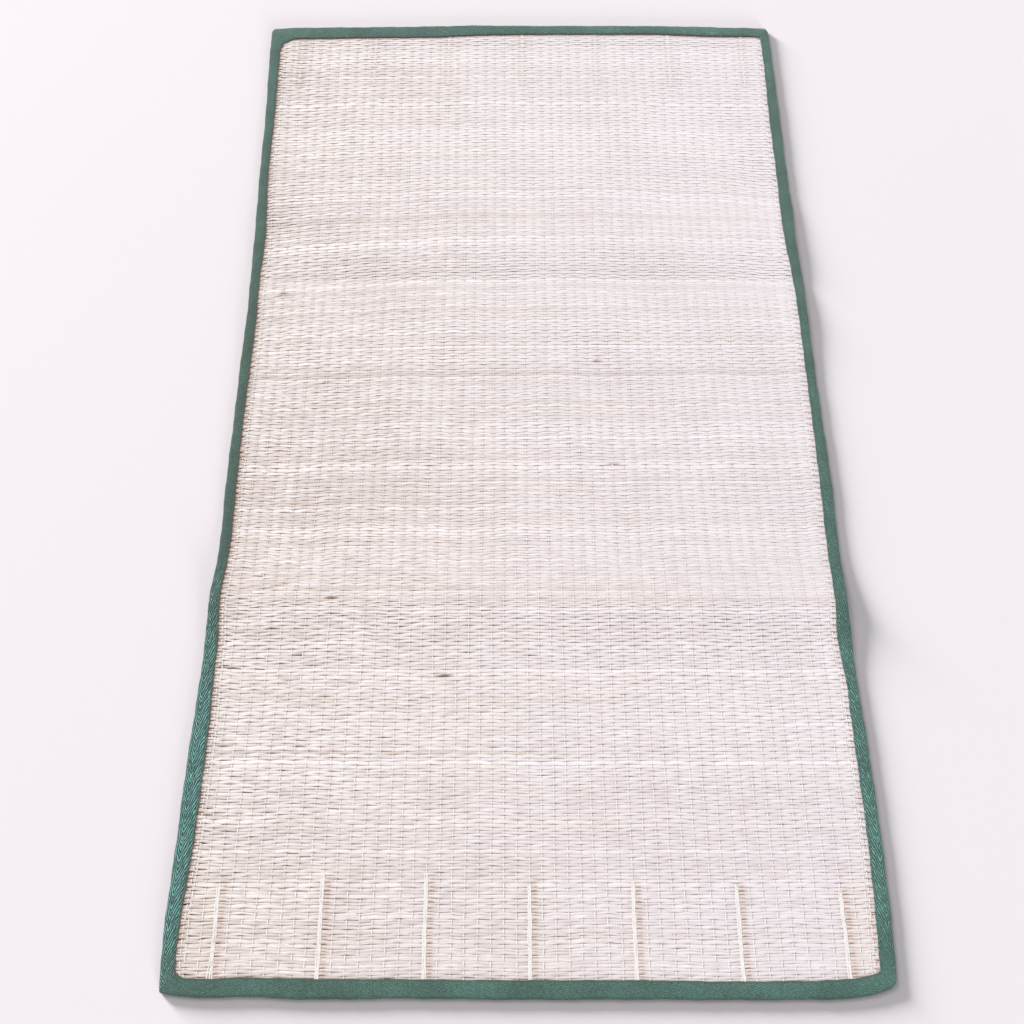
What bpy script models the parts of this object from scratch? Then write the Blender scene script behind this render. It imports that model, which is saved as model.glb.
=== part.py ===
"""Sedge sleeping mat, opened out flat after being stored folded in three.

One woven sheet of split sedge, four strips of green tape folded over its edges
and meeting in mitred corners, and seven thick white cords laid into each end.
Everything is in metres: +X across the mat, +Y along it, +Z up. The origin is in
the middle of the mat, on the surface it lies on.
"""

import math
from collections import namedtuple

import bmesh
import bpy
import numpy as np

# Thicknesses of the pieces and the air left between them.
SHEET_THICKNESS = 0.0030
TAPE_THICKNESS = 0.0010
CLEARANCE = 0.0003
BINDING_HEIGHT = 0.0059

# The two ends of the mat before its end edges bow out or draw in.
NEAR_END = -0.9150
FAR_END = 0.9150

# Distance over which the bow of an end edge dies out towards the middle.
END_BOW_REACH = 0.22

# How far inside the outline the woven sheet stops, within its binding.
SHEET_MARGIN = 0.0035

# The sheet's rim is raised by what lies under it: the lower leg of the tape.
RIM_RISE = TAPE_THICKNESS + CLEARANCE
SIDE_RIM = (0.024, 0.050)
END_RIM = (0.033, 0.058)

# Half the width of the slit between two tapes at a mitred corner.
MITRE_GAP = 0.00025

# Outline of the long sides: where each edge runs, and how wide its tape shows.
SideStation = namedtuple("SideStation", "along left_edge left_tape right_edge right_tape")
SIDE_STATIONS = (
    SideStation(-0.915, -0.4535, 0.0185, 0.4515, 0.0200),
    SideStation(-0.860, -0.4560, 0.0185, 0.4540, 0.0203),
    SideStation(-0.700, -0.4538, 0.0230, 0.4562, 0.0182),
    SideStation(-0.580, -0.4518, 0.0235, 0.4550, 0.0178),
    SideStation(-0.520, -0.4497, 0.0222, 0.4540, 0.0172),
    SideStation(-0.460, -0.4475, 0.0187, 0.4517, 0.0152),
    SideStation(-0.400, -0.4462, 0.0180, 0.4518, 0.0200),
    SideStation(-0.338, -0.4465, 0.0155, 0.4525, 0.0182),
    SideStation(-0.240, -0.4413, 0.0152, 0.4512, 0.0172),
    SideStation(-0.130, -0.4424, 0.0158, 0.4533, 0.0178),
    SideStation(0.000, -0.4414, 0.0145, 0.4515, 0.0153),
    SideStation(0.140, -0.4406, 0.0163, 0.4504, 0.0145),
    SideStation(0.200, -0.4390, 0.0157, 0.4502, 0.0145),
    SideStation(0.287, -0.4402, 0.0150, 0.4502, 0.0160),
    SideStation(0.374, -0.4410, 0.0182, 0.4470, 0.0182),
    SideStation(0.430, -0.4424, 0.0172, 0.4486, 0.0206),
    SideStation(0.515, -0.4446, 0.0150, 0.4472, 0.0180),
    SideStation(0.680, -0.4464, 0.0161, 0.4476, 0.0183),
    SideStation(0.820, -0.4506, 0.0180, 0.4472, 0.0156),
    SideStation(0.915, -0.4520, 0.0190, 0.4468, 0.0160),
)

# Outline of the two ends: where each edge runs, and how wide its tape shows.
EndStation = namedtuple("EndStation", "across near_edge near_tape far_edge far_tape")
END_STATIONS = (
    EndStation(-0.460, -0.9000, 0.0245, 0.9030, 0.0310),
    EndStation(-0.415, -0.9108, 0.0240, 0.9092, 0.0315),
    EndStation(-0.355, -0.9102, 0.0250, 0.9105, 0.0310),
    EndStation(-0.270, -0.9134, 0.0255, 0.9118, 0.0300),
    EndStation(-0.150, -0.9124, 0.0242, 0.9145, 0.0300),
    EndStation(-0.095, -0.9132, 0.0240, 0.9166, 0.0276),
    EndStation(0.000, -0.9140, 0.0242, 0.9158, 0.0238),
    EndStation(0.150, -0.9140, 0.0236, 0.9160, 0.0231),
    EndStation(0.250, -0.9147, 0.0227, 0.9154, 0.0225),
    EndStation(0.320, -0.9145, 0.0230, 0.9138, 0.0255),
    EndStation(0.375, -0.9138, 0.0235, 0.9113, 0.0252),
    EndStation(0.415, -0.9098, 0.0250, 0.9103, 0.0246),
    EndStation(0.460, -0.8950, 0.0270, 0.9040, 0.0250),
)

# Corners of the binding: rounding outside, and the slant of its inner edge.
Corner = namedtuple("Corner", "right far outer_radius inner_slant")
CORNERS = (
    Corner(False, False, 0.006, 0.010),
    Corner(True, False, 0.010, 0.004),
    Corner(False, True, 0.009, 0.022),
    Corner(True, True, 0.010, 0.005),
)

# Creases left by folding the mat in three. The near one stands up as a low
# ridge, and the far one lies on the floor between two low swells.
Fold = namedtuple("Fold", "along rise reach is_ridge")
FOLDS = (
    Fold(-0.338, 0.0070, 0.130, True),
    Fold(0.287, 0.0025, 0.200, False),
)
CREASE_SOFTNESS = 0.004
CREASE_OFFSETS = (0.006, 0.016, 0.032, 0.055, 0.085, 0.125)
PANEL_ROW_SPACING = 0.075
PANEL_COLUMNS = 6

# Scales the curve t (1 - t)^2 of a swell to a height of 1.
SWELL_SCALE = 27 / 4

# Section of the folded tape, from its lower inner edge round to its upper one.
# A point's inset is a share of the tape's width and a fixed step in from its outer
# edge, height is a share of the binding's, and inward is the direction in degrees
# in which the tape has its thickness.
TapePoint = namedtuple("TapePoint", "share step height inward")
TAPE_SECTION = (
    TapePoint(1.00, 0.0000, 0.00, 90),
    TapePoint(0.50, 0.0000, 0.00, 90),
    TapePoint(0.00, 0.0026, 0.00, 80),
    TapePoint(0.00, 0.0005, 0.20, 35),
    TapePoint(0.00, 0.0000, 0.50, 0),
    TapePoint(0.00, 0.0005, 0.80, -35),
    TapePoint(0.00, 0.0026, 0.95, -80),
    TapePoint(0.50, 0.0000, 1.00, -90),
    TapePoint(1.00, 0.0000, 0.95, -90),
)

# Stations of a tape near its corners, and how far along it the mitre's slant dies out.
CORNER_STEPS = (0.0, 0.003, 0.007, 0.012, 0.020, 0.032, 0.046)
AFTER_CORNER = 0.056
MITRE_REACH = 0.060
END_TAPE_SPACING = 0.040

# Thick cords laid into the weave at both ends, every eighth warp thread.
CORDS_AT_AN_END = 7
CORD_SPACING = 0.1314
CORD_MIDDLE = 0.0010
CORD_RADIUS = 0.0015
CORD_POINTS = 8
NEAR_CORD_END = -0.753
FAR_CORD_END = 0.754
CORD_TO_TAPE = 0.0005

# Colours, linear, with roughness.
Finish = namedtuple("Finish", "name colour roughness")
SEDGE = Finish("sedge_weave", (0.78, 0.70, 0.62), 0.6)
TAPE = Finish("binding_tape", (0.070, 0.215, 0.155), 0.8)
CORD = Finish("end_cord", (0.86, 0.80, 0.74), 0.7)


def read_table(table, column, place):
    """Value of a table's named column at a place, on a smooth curve through its rows."""
    places = np.array([row[0] for row in table])
    values = np.array([getattr(row, column) for row in table])
    slopes = np.gradient(values, places)
    place = min(max(place, places[0]), places[-1])
    row = min(int(np.searchsorted(places, place, side="right")) - 1, len(places) - 2)
    span = places[row + 1] - places[row]
    t = (place - places[row]) / span
    start = values[row] * (1 + 2 * t) * (1 - t) ** 2 + slopes[row] * span * t * (1 - t) ** 2
    end = values[row + 1] * t * t * (3 - 2 * t) - slopes[row + 1] * span * t * t * (1 - t)
    return float(start + end)


def smooth_step(low, high, value):
    """Rises smoothly from 0 at low to 1 at high."""
    t = min(max((value - low) / (high - low), 0.0), 1.0)
    return t * t * (3 - 2 * t)


def end_bow(distance):
    """Share of an end edge's bow that is left at a distance from that end."""
    return max(0.0, 1.0 - max(distance, 0.0) / END_BOW_REACH) ** 2


def soften_corner(from_side, from_end, radius):
    """Draws a point near an outline corner in, so that the square corner becomes round."""
    if from_side >= radius or from_end >= radius:
        return from_side, from_end
    a = 1 - from_side / radius
    b = 1 - from_end / radius
    side = radius * (1 - a * math.sqrt(1 - b * b / 2))
    end = radius * (1 - b * math.sqrt(1 - a * a / 2))
    return side, end


def corner_at(right, far):
    """The corner of the binding on the given side and end."""
    return next(c for c in CORNERS if c.right == right and c.far == far)


def place_in_outline(side_share, end_share, aside=0.0, ahead=0.0):
    """Point of the mat in plan, by its shares across and along, moved by aside and ahead."""
    y = NEAR_END + (FAR_END - NEAR_END) * end_share + ahead
    left = read_table(SIDE_STATIONS, "left_edge", y)
    right = read_table(SIDE_STATIONS, "right_edge", y)
    x = left + (right - left) * side_share + aside
    on_right = x > (left + right) / 2
    on_far = y > 0
    from_side = right - x if on_right else x - left
    from_end = FAR_END - y if on_far else y - NEAR_END
    corner = corner_at(on_right, on_far)
    side, end = soften_corner(from_side, from_end, corner.outer_radius)
    x += (from_side - side) if on_right else (side - from_side)
    near_bow = read_table(END_STATIONS, "near_edge", x) - NEAR_END
    far_bow = read_table(END_STATIONS, "far_edge", x) - FAR_END
    y_bowed = y + near_bow * end_bow(y - NEAR_END) + far_bow * end_bow(FAR_END - y)
    y_bowed += (from_end - end) if on_far else (end - from_end)
    return x, y_bowed


def fold_lift(y):
    """Height at which the mat's underside stands off the floor at a place along it."""
    lift = 0.0
    for fold in FOLDS:
        away = math.hypot(y - fold.along, CREASE_SOFTNESS) - CREASE_SOFTNESS
        t = away / fold.reach
        if t >= 1:
            continue
        shape = (1 - t) ** 2 if fold.is_ridge else SWELL_SCALE * t * (1 - t) ** 2
        lift += fold.rise * shape
    return lift


def rim_lift(x, y):
    """Extra height of the sheet's underside where the lower leg of the tape is under it."""
    left = read_table(SIDE_STATIONS, "left_edge", y)
    right = read_table(SIDE_STATIONS, "right_edge", y)
    near = read_table(END_STATIONS, "near_edge", x)
    far = read_table(END_STATIONS, "far_edge", x)
    inside_sides = smooth_step(*SIDE_RIM, min(x - left, right - x))
    inside_ends = smooth_step(*END_RIM, min(y - near, far - y))
    return RIM_RISE * (1 - inside_sides * inside_ends)


def row_places():
    """Shares along the mat for the rows of the sheet and of the side tapes."""
    length = FAR_END - NEAR_END
    rim = (END_RIM[0], sum(END_RIM) / 2, END_RIM[1])
    rows = set(rim) | {length - inset for inset in rim}
    for fold in FOLDS:
        middle = fold.along - NEAR_END
        rows |= {middle} | {middle + side * off for off in CREASE_OFFSETS for side in (-1, 1)}
    ordered = sorted(rows)
    for low, high in zip(ordered, ordered[1:]):
        extra = int((high - low) / PANEL_ROW_SPACING)
        rows |= {low + (high - low) * (k + 1) / (extra + 1) for k in range(extra)}
    return [0.0] + [row / length for row in sorted(rows)] + [1.0]


def column_places():
    """Places across the sheet: a share of its width and a fixed inset from the near side."""
    insets = (SHEET_MARGIN, SIDE_RIM[0], sum(SIDE_RIM) / 2, SIDE_RIM[1])
    rim = [inset - SHEET_MARGIN for inset in insets]
    inner = [(k + 1) / PANEL_COLUMNS for k in range(PANEL_COLUMNS - 1)]
    left = [(0.0, inset) for inset in rim]
    middle = [(share, 0.0) for share in inner]
    right = [(1.0, -inset) for inset in reversed(rim)]
    return left + middle + right


def make_slab(columns, rows):
    """Grid of cells one cell thick, whose corners stand at whole numbers."""
    slab = bmesh.new()
    bmesh.ops.create_grid(slab, x_segments=columns, y_segments=rows, size=0.5)
    for vert in slab.verts:
        vert.co.x = round((vert.co.x + 0.5) * columns)
        vert.co.y = round((vert.co.y + 0.5) * rows)
    grown = bmesh.ops.extrude_face_region(slab, geom=slab.faces[:])
    raised = [item for item in grown["geom"] if isinstance(item, bmesh.types.BMVert)]
    bmesh.ops.translate(slab, verts=raised, vec=(0, 0, 1))
    bmesh.ops.recalc_face_normals(slab, faces=slab.faces)
    return slab


def shape_slab(slab, place):
    """Moves each corner of the slab to where place puts its column, row and layer."""
    for vert in slab.verts:
        column, row, layer = (round(value) for value in vert.co)
        vert.co = place(column, row, layer)
    if slab.calc_volume(signed=True) < 0:
        bmesh.ops.reverse_faces(slab, faces=slab.faces)


def make_finish(finish):
    """Principled material with the finish's colour and roughness."""
    material = bpy.data.materials.new(finish.name)
    material.use_nodes = True
    shader = material.node_tree.nodes["Principled BSDF"]
    shader.inputs["Base Color"].default_value = (*finish.colour, 1)
    shader.inputs["Roughness"].default_value = finish.roughness
    shader.inputs["Metallic"].default_value = 0.0
    return material


def add_piece(name, shape, material, collection):
    """Object made of a bmesh, in the mat's own collection."""
    mesh = bpy.data.meshes.new(name)
    shape.to_mesh(mesh)
    shape.free()
    mesh.materials.append(material)
    piece = bpy.data.objects.new(name, mesh)
    collection.objects.link(piece)
    mesh.shade_smooth()
    mesh.set_sharp_from_angle(angle=math.radians(40))
    return piece


def build_sheet(material, collection):
    """The woven sedge sheet, raised at its rim and lifted at its folds."""
    rows = row_places()
    columns = column_places()

    def place(column, row, layer):
        side_share, inset = columns[column]
        margin = SHEET_MARGIN * (1 - 2 * side_share)
        ahead = {0: SHEET_MARGIN, len(rows) - 1: -SHEET_MARGIN}.get(row, 0.0)
        x, y = place_in_outline(side_share, rows[row], inset + margin, ahead)
        z = fold_lift(y) + rim_lift(x, y) + SHEET_THICKNESS * layer
        return x, y, z

    slab = make_slab(len(columns) - 1, len(rows) - 1)
    shape_slab(slab, place)
    return add_piece("sedge_sheet", slab, material, collection)


def inner_slant(slant, beyond):
    """How much wider a tape is where its inner edge cuts across the binding's inner corner."""
    return min(max(slant - beyond, 0.0), slant / 2)


def corner_widths(right, far):
    """Widths of the side tape and of the end tape where they meet at a corner."""
    y = FAR_END if far else NEAR_END
    edge = read_table(SIDE_STATIONS, "right_edge" if right else "left_edge", y)
    side_tape = read_table(SIDE_STATIONS, "right_tape" if right else "left_tape", y)
    end_tape = read_table(END_STATIONS, "far_tape" if far else "near_tape", edge)
    slant = corner_at(right, far).inner_slant
    return side_tape, end_tape, slant


def mitre_slope(right, far):
    """How far a mitre runs along the side for each step across it."""
    side_tape, end_tape, slant = corner_widths(right, far)
    return (end_tape + slant / 2) / (side_tape + slant / 2)


def side_tape_width(right, from_near):
    """Width of a long side's tape at a distance from the near end."""
    column = "right_tape" if right else "left_tape"
    width = read_table(SIDE_STATIONS, column, NEAR_END + from_near)
    for far in (False, True):
        from_end = FAR_END - NEAR_END - from_near if far else from_near
        _, end_tape, slant = corner_widths(right, far)
        mitre = (end_tape + slant / 2) * mitre_share(from_end)
        width += inner_slant(slant, from_end + mitre - end_tape)
    return width


def end_tape_width(far, from_left):
    """Width of an end's tape at a distance from the left side."""
    y = FAR_END if far else NEAR_END
    left = read_table(SIDE_STATIONS, "left_edge", y)
    whole = read_table(SIDE_STATIONS, "right_edge", y) - left
    width = read_table(END_STATIONS, "far_tape" if far else "near_tape", left + from_left)
    for right in (False, True):
        from_side = whole - from_left if right else from_left
        side_tape, _, slant = corner_widths(right, far)
        mitre = (side_tape + slant / 2) * mitre_share(from_side)
        width += inner_slant(slant, from_side + mitre - side_tape)
    return width


def mitre_share(from_corner):
    """Share of the mitre's slant that a tape's station has at a distance from the corner."""
    return max(0.0, 1 - from_corner / MITRE_REACH)


def mitre_shift(reached, length, inset, first_slope, last_slope):
    """How far a point of a tape moves along it so that both of its ends are mitred."""
    first = mitre_share(reached) * (inset * first_slope + MITRE_GAP)
    last = mitre_share(length - reached) * (inset * last_slope + MITRE_GAP)
    return first - last


def tape_stations(length, between):
    """Distances along a tape from its first corner, close together near both corners."""
    middle = [reached for reached in between if AFTER_CORNER <= reached <= length - AFTER_CORNER]
    return list(CORNER_STEPS) + middle + [length - step for step in reversed(CORNER_STEPS)]


def tape_point(column, layer, width):
    """Inset from the outline and height of one point of the folded tape's section."""
    point = TAPE_SECTION[column]
    angle = math.radians(point.inward)
    inset = point.share * width + point.step + TAPE_THICKNESS * layer * math.cos(angle)
    height = point.height * BINDING_HEIGHT + TAPE_THICKNESS * layer * math.sin(angle)
    return inset, height


def build_side_tape(name, right, material, collection):
    """Tape folded over a long side, with a mitre at each end."""
    length = FAR_END - NEAR_END
    stations = tape_stations(length, [share * length for share in row_places()])
    slopes = (mitre_slope(right, False), mitre_slope(right, True))

    def place(column, row, layer):
        reached = stations[row]
        inset, height = tape_point(column, layer, side_tape_width(right, reached))
        ahead = mitre_shift(reached, length, inset, *slopes)
        share, inward = (1.0, -1) if right else (0.0, 1)
        x, y = place_in_outline(share, reached / length, inward * inset, ahead)
        return x, y, height + fold_lift(y)

    slab = make_slab(len(TAPE_SECTION) - 1, len(stations) - 1)
    shape_slab(slab, place)
    return add_piece(name, slab, material, collection)


def build_end_tape(name, far, material, collection):
    """Tape folded over an end, with a mitre at each of its own ends."""
    y_end = FAR_END if far else NEAR_END
    left = read_table(SIDE_STATIONS, "left_edge", y_end)
    length = read_table(SIDE_STATIONS, "right_edge", y_end) - left
    steps = int(length / END_TAPE_SPACING)
    stations = tape_stations(length, [length * k / steps for k in range(steps + 1)])
    slopes = (1 / mitre_slope(False, far), 1 / mitre_slope(True, far))

    def place(column, row, layer):
        reached = stations[row]
        inset, height = tape_point(column, layer, end_tape_width(far, reached))
        aside = mitre_shift(reached, length, inset, *slopes)
        share, inward = (1.0, -1) if far else (0.0, 1)
        x, y = place_in_outline(reached / length, share, aside, inward * inset)
        return x, y, height

    slab = make_slab(len(TAPE_SECTION) - 1, len(stations) - 1)
    shape_slab(slab, place)
    return add_piece(name, slab, material, collection)


def build_cord(name, x, start, end, material, collection):
    """Thick cord lying on the sheet from the tape's inner edge towards the middle."""
    curve = bpy.data.curves.new(name, "CURVE")
    curve.dimensions = "3D"
    curve.bevel_depth = CORD_RADIUS
    curve.bevel_resolution = 2
    curve.use_fill_caps = True
    spline = curve.splines.new("POLY")
    spline.points.add(CORD_POINTS - 1)
    for k, point in enumerate(spline.points):
        y = start + (end - start) * k / (CORD_POINTS - 1)
        z = rim_lift(x, y) + SHEET_THICKNESS + CLEARANCE + CORD_RADIUS
        point.co = (x, y, z, 1)
    curve.materials.append(material)
    cord = bpy.data.objects.new(name, curve)
    collection.objects.link(cord)
    return cord


def build_end_cords(material, collection):
    """The seven cords of each end, from left to right."""
    for k in range(CORDS_AT_AN_END):
        x = CORD_MIDDLE + CORD_SPACING * (k - (CORDS_AT_AN_END - 1) / 2)
        near_tape = read_table(END_STATIONS, "near_edge", x) + read_table(END_STATIONS, "near_tape", x)
        far_tape = read_table(END_STATIONS, "far_edge", x) - read_table(END_STATIONS, "far_tape", x)
        near_start = near_tape + CORD_TO_TAPE
        far_start = far_tape - CORD_TO_TAPE
        build_cord(f"near_end_cord_{k + 1}", x, near_start, NEAR_CORD_END, material, collection)
        build_cord(f"far_end_cord_{k + 1}", x, far_start, FAR_CORD_END, material, collection)


def clear_scene():
    """Removes the objects that the file opens with."""
    for item in list(bpy.data.objects):
        bpy.data.objects.remove(item, do_unlink=True)


def build_mat():
    """Builds every piece of the mat in its own collection."""
    clear_scene()
    collection = bpy.data.collections.new("sedge_sleeping_mat")
    bpy.context.scene.collection.children.link(collection)
    build_sheet(make_finish(SEDGE), collection)
    tape = make_finish(TAPE)
    build_side_tape("tape_left", False, tape, collection)
    build_side_tape("tape_right", True, tape, collection)
    build_end_tape("tape_near", False, tape, collection)
    build_end_tape("tape_far", True, tape, collection)
    build_end_cords(make_finish(CORD), collection)


build_mat()
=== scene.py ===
"""Sedge sleeping mat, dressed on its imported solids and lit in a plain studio.

The mat lies opened out flat. Split sedge runs across it as weft, one splint row
after another, over and under thin pale warp threads that run along it. A green
twill tape is folded over all four edges, and seven thick white cords are laid
into each end. Everything is in metres: +X across the mat, +Y along it, +Z up.
"""

import logging
import math
from collections.abc import Sequence
from dataclasses import dataclass
from enum import Enum

import bmesh
import bpy
import numpy as np
from mathutils import Matrix, Vector

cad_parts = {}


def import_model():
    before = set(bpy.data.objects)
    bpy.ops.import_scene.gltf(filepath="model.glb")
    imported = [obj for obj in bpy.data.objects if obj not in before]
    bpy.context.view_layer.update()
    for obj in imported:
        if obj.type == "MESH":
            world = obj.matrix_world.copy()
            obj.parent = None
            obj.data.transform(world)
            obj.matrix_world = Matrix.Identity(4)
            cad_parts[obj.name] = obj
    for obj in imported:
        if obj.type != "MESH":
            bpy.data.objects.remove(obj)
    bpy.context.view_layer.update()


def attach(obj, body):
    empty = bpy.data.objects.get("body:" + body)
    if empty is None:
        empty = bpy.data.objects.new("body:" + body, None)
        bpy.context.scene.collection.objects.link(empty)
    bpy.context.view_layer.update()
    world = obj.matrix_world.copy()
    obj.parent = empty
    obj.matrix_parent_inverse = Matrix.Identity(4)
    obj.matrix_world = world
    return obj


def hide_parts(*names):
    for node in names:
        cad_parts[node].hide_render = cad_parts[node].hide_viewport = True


Colour = tuple[float, float, float]
Values = np.ndarray
Material = bpy.types.Material
Node = bpy.types.Node
Piece = bpy.types.Object
Socket = bpy.types.NodeSocket

log = logging.getLogger("sedge_mat")

# Outline and thicknesses of the mat, as its solids have them.
NEAR_END = -0.9150
FAR_END = 0.9150
LENGTH = FAR_END - NEAR_END
SHEET_THICKNESS = 0.0030
TAPE_THICKNESS = 0.0010
BINDING_HEIGHT = 0.0059
SHEET_MARGIN = 0.0035
RIM_RISE = 0.0013
SIDE_RIM = (0.024, 0.050)
END_RIM = (0.033, 0.058)
END_BOW_REACH = 0.22
USUAL_WIDTH = 0.9

# Places of the end cords, as their solids have them.
CORD_MIDDLE = 0.0010
CORD_SPACING = 0.1314
CORDS_AT_AN_END = 7
CORDS_BESIDE_MIDDLE = (CORDS_AT_AN_END - 1) // 2
THREADS_PER_CORD = 8
# How far in the near cords reach, from the left, and how far all the far ones do.
NEAR_CORD_ENDS = (-0.759, -0.743, -0.744, -0.758, -0.755, -0.762, -0.768)
FAR_CORD_END = 0.754


@dataclass(frozen=True)
class SideStation:
    """Where the two long edges run at a place along the mat, and how wide their tapes show."""

    along: float
    left_edge: float
    left_tape: float
    right_edge: float
    right_tape: float


SIDE_STATIONS = (
    SideStation(-0.915, -0.4535, 0.0185, 0.4515, 0.0200),
    SideStation(-0.860, -0.4560, 0.0185, 0.4540, 0.0203),
    SideStation(-0.700, -0.4538, 0.0230, 0.4562, 0.0182),
    SideStation(-0.580, -0.4518, 0.0235, 0.4550, 0.0178),
    SideStation(-0.520, -0.4497, 0.0222, 0.4540, 0.0172),
    SideStation(-0.460, -0.4475, 0.0187, 0.4517, 0.0152),
    SideStation(-0.400, -0.4462, 0.0180, 0.4518, 0.0200),
    SideStation(-0.338, -0.4465, 0.0155, 0.4525, 0.0182),
    SideStation(-0.240, -0.4413, 0.0152, 0.4512, 0.0172),
    SideStation(-0.130, -0.4424, 0.0158, 0.4533, 0.0178),
    SideStation(0.000, -0.4414, 0.0145, 0.4515, 0.0153),
    SideStation(0.140, -0.4406, 0.0163, 0.4504, 0.0145),
    SideStation(0.200, -0.4390, 0.0157, 0.4502, 0.0145),
    SideStation(0.287, -0.4402, 0.0150, 0.4502, 0.0160),
    SideStation(0.374, -0.4410, 0.0182, 0.4470, 0.0182),
    SideStation(0.430, -0.4424, 0.0172, 0.4486, 0.0206),
    SideStation(0.515, -0.4446, 0.0150, 0.4472, 0.0180),
    SideStation(0.680, -0.4464, 0.0161, 0.4476, 0.0183),
    SideStation(0.820, -0.4506, 0.0180, 0.4472, 0.0156),
    SideStation(0.915, -0.4520, 0.0190, 0.4468, 0.0160),
)


@dataclass(frozen=True)
class EndStation:
    """Where the two end edges run at a place across the mat, and how wide their tapes show."""

    across: float
    near_edge: float
    near_tape: float
    far_edge: float
    far_tape: float


END_STATIONS = (
    EndStation(-0.460, -0.9045, 0.0245, 0.9030, 0.0310),
    EndStation(-0.415, -0.9108, 0.0240, 0.9092, 0.0315),
    EndStation(-0.355, -0.9102, 0.0250, 0.9105, 0.0310),
    EndStation(-0.270, -0.9134, 0.0255, 0.9118, 0.0300),
    EndStation(-0.150, -0.9124, 0.0242, 0.9145, 0.0300),
    EndStation(-0.095, -0.9132, 0.0240, 0.9166, 0.0276),
    EndStation(0.000, -0.9140, 0.0242, 0.9158, 0.0238),
    EndStation(0.150, -0.9140, 0.0236, 0.9160, 0.0231),
    EndStation(0.250, -0.9147, 0.0227, 0.9154, 0.0225),
    EndStation(0.320, -0.9145, 0.0230, 0.9138, 0.0255),
    EndStation(0.375, -0.9138, 0.0235, 0.9113, 0.0252),
    EndStation(0.415, -0.9098, 0.0250, 0.9103, 0.0246),
    EndStation(0.460, -0.8950, 0.0270, 0.9040, 0.0250),
)


@dataclass(frozen=True)
class Corner:
    """How round a corner of the binding is outside, and how its inner edge slants."""

    right: bool
    far: bool
    outer_radius: float
    inner_slant: float


CORNERS = (
    Corner(False, False, 0.004, 0.010),
    Corner(True, False, 0.010, 0.004),
    Corner(False, True, 0.009, 0.025),
    Corner(True, True, 0.010, 0.005),
)


@dataclass(frozen=True)
class Fold:
    """A crease across the mat: a ridge that stands up, or a valley between two swells."""

    along: float
    rise: float
    reach: float
    is_ridge: bool


FOLDS = (
    Fold(-0.338, 0.0070, 0.130, True),
    Fold(0.287, 0.0025, 0.200, False),
)
CREASE_SOFTNESS = 0.004
SWELL_SCALE = 27 / 4


@dataclass(frozen=True)
class RowPitch:
    """How far apart the splint rows lie at a place along the mat."""

    along: float
    pitch: float


ROW_PITCHES = (
    RowPitch(-0.915, 0.0047),
    RowPitch(-0.600, 0.0047),
    RowPitch(-0.338, 0.0050),
    RowPitch(0.000, 0.0053),
    RowPitch(0.200, 0.0057),
    RowPitch(0.500, 0.0061),
    RowPitch(0.915, 0.0062),
)


@dataclass(frozen=True)
class ThreadPitch:
    """How far apart the warp threads lie at a place along the mat."""

    along: float
    pitch: float


THREAD_PITCHES = (
    ThreadPitch(-0.915, 0.016425),
    ThreadPitch(-0.700, 0.016410),
    ThreadPitch(-0.338, 0.016290),
    ThreadPitch(0.000, 0.016130),
    ThreadPitch(0.300, 0.016080),
    ThreadPitch(0.520, 0.016150),
    ThreadPitch(0.750, 0.016400),
    ThreadPitch(0.915, 0.016425),
)


@dataclass(frozen=True)
class RowBow:
    """How far the rows hang back towards the near end at both sides of the mat."""

    along: float
    left: float
    right: float


ROW_BOWS = (
    RowBow(-0.915, 0.000, 0.000),
    RowBow(-0.340, 0.000, 0.000),
    RowBow(-0.100, 0.008, -0.003),
    RowBow(0.140, 0.016, -0.002),
    RowBow(0.300, 0.034, 0.010),
    RowBow(0.400, 0.034, 0.014),
    RowBow(0.490, 0.024, 0.026),
    RowBow(0.600, 0.018, 0.018),
    RowBow(0.720, 0.012, 0.011),
    RowBow(0.860, 0.004, 0.003),
    RowBow(0.915, 0.000, 0.000),
)
ROW_CREST = 0.55


@dataclass(frozen=True)
class RowBand:
    """A few rows of splints that differ: wider or finer, brighter or browner."""

    along: float
    rows: int
    width: float
    tone: float
    warmth: float
    first_share: float = -0.2
    last_share: float = 1.2


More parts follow.
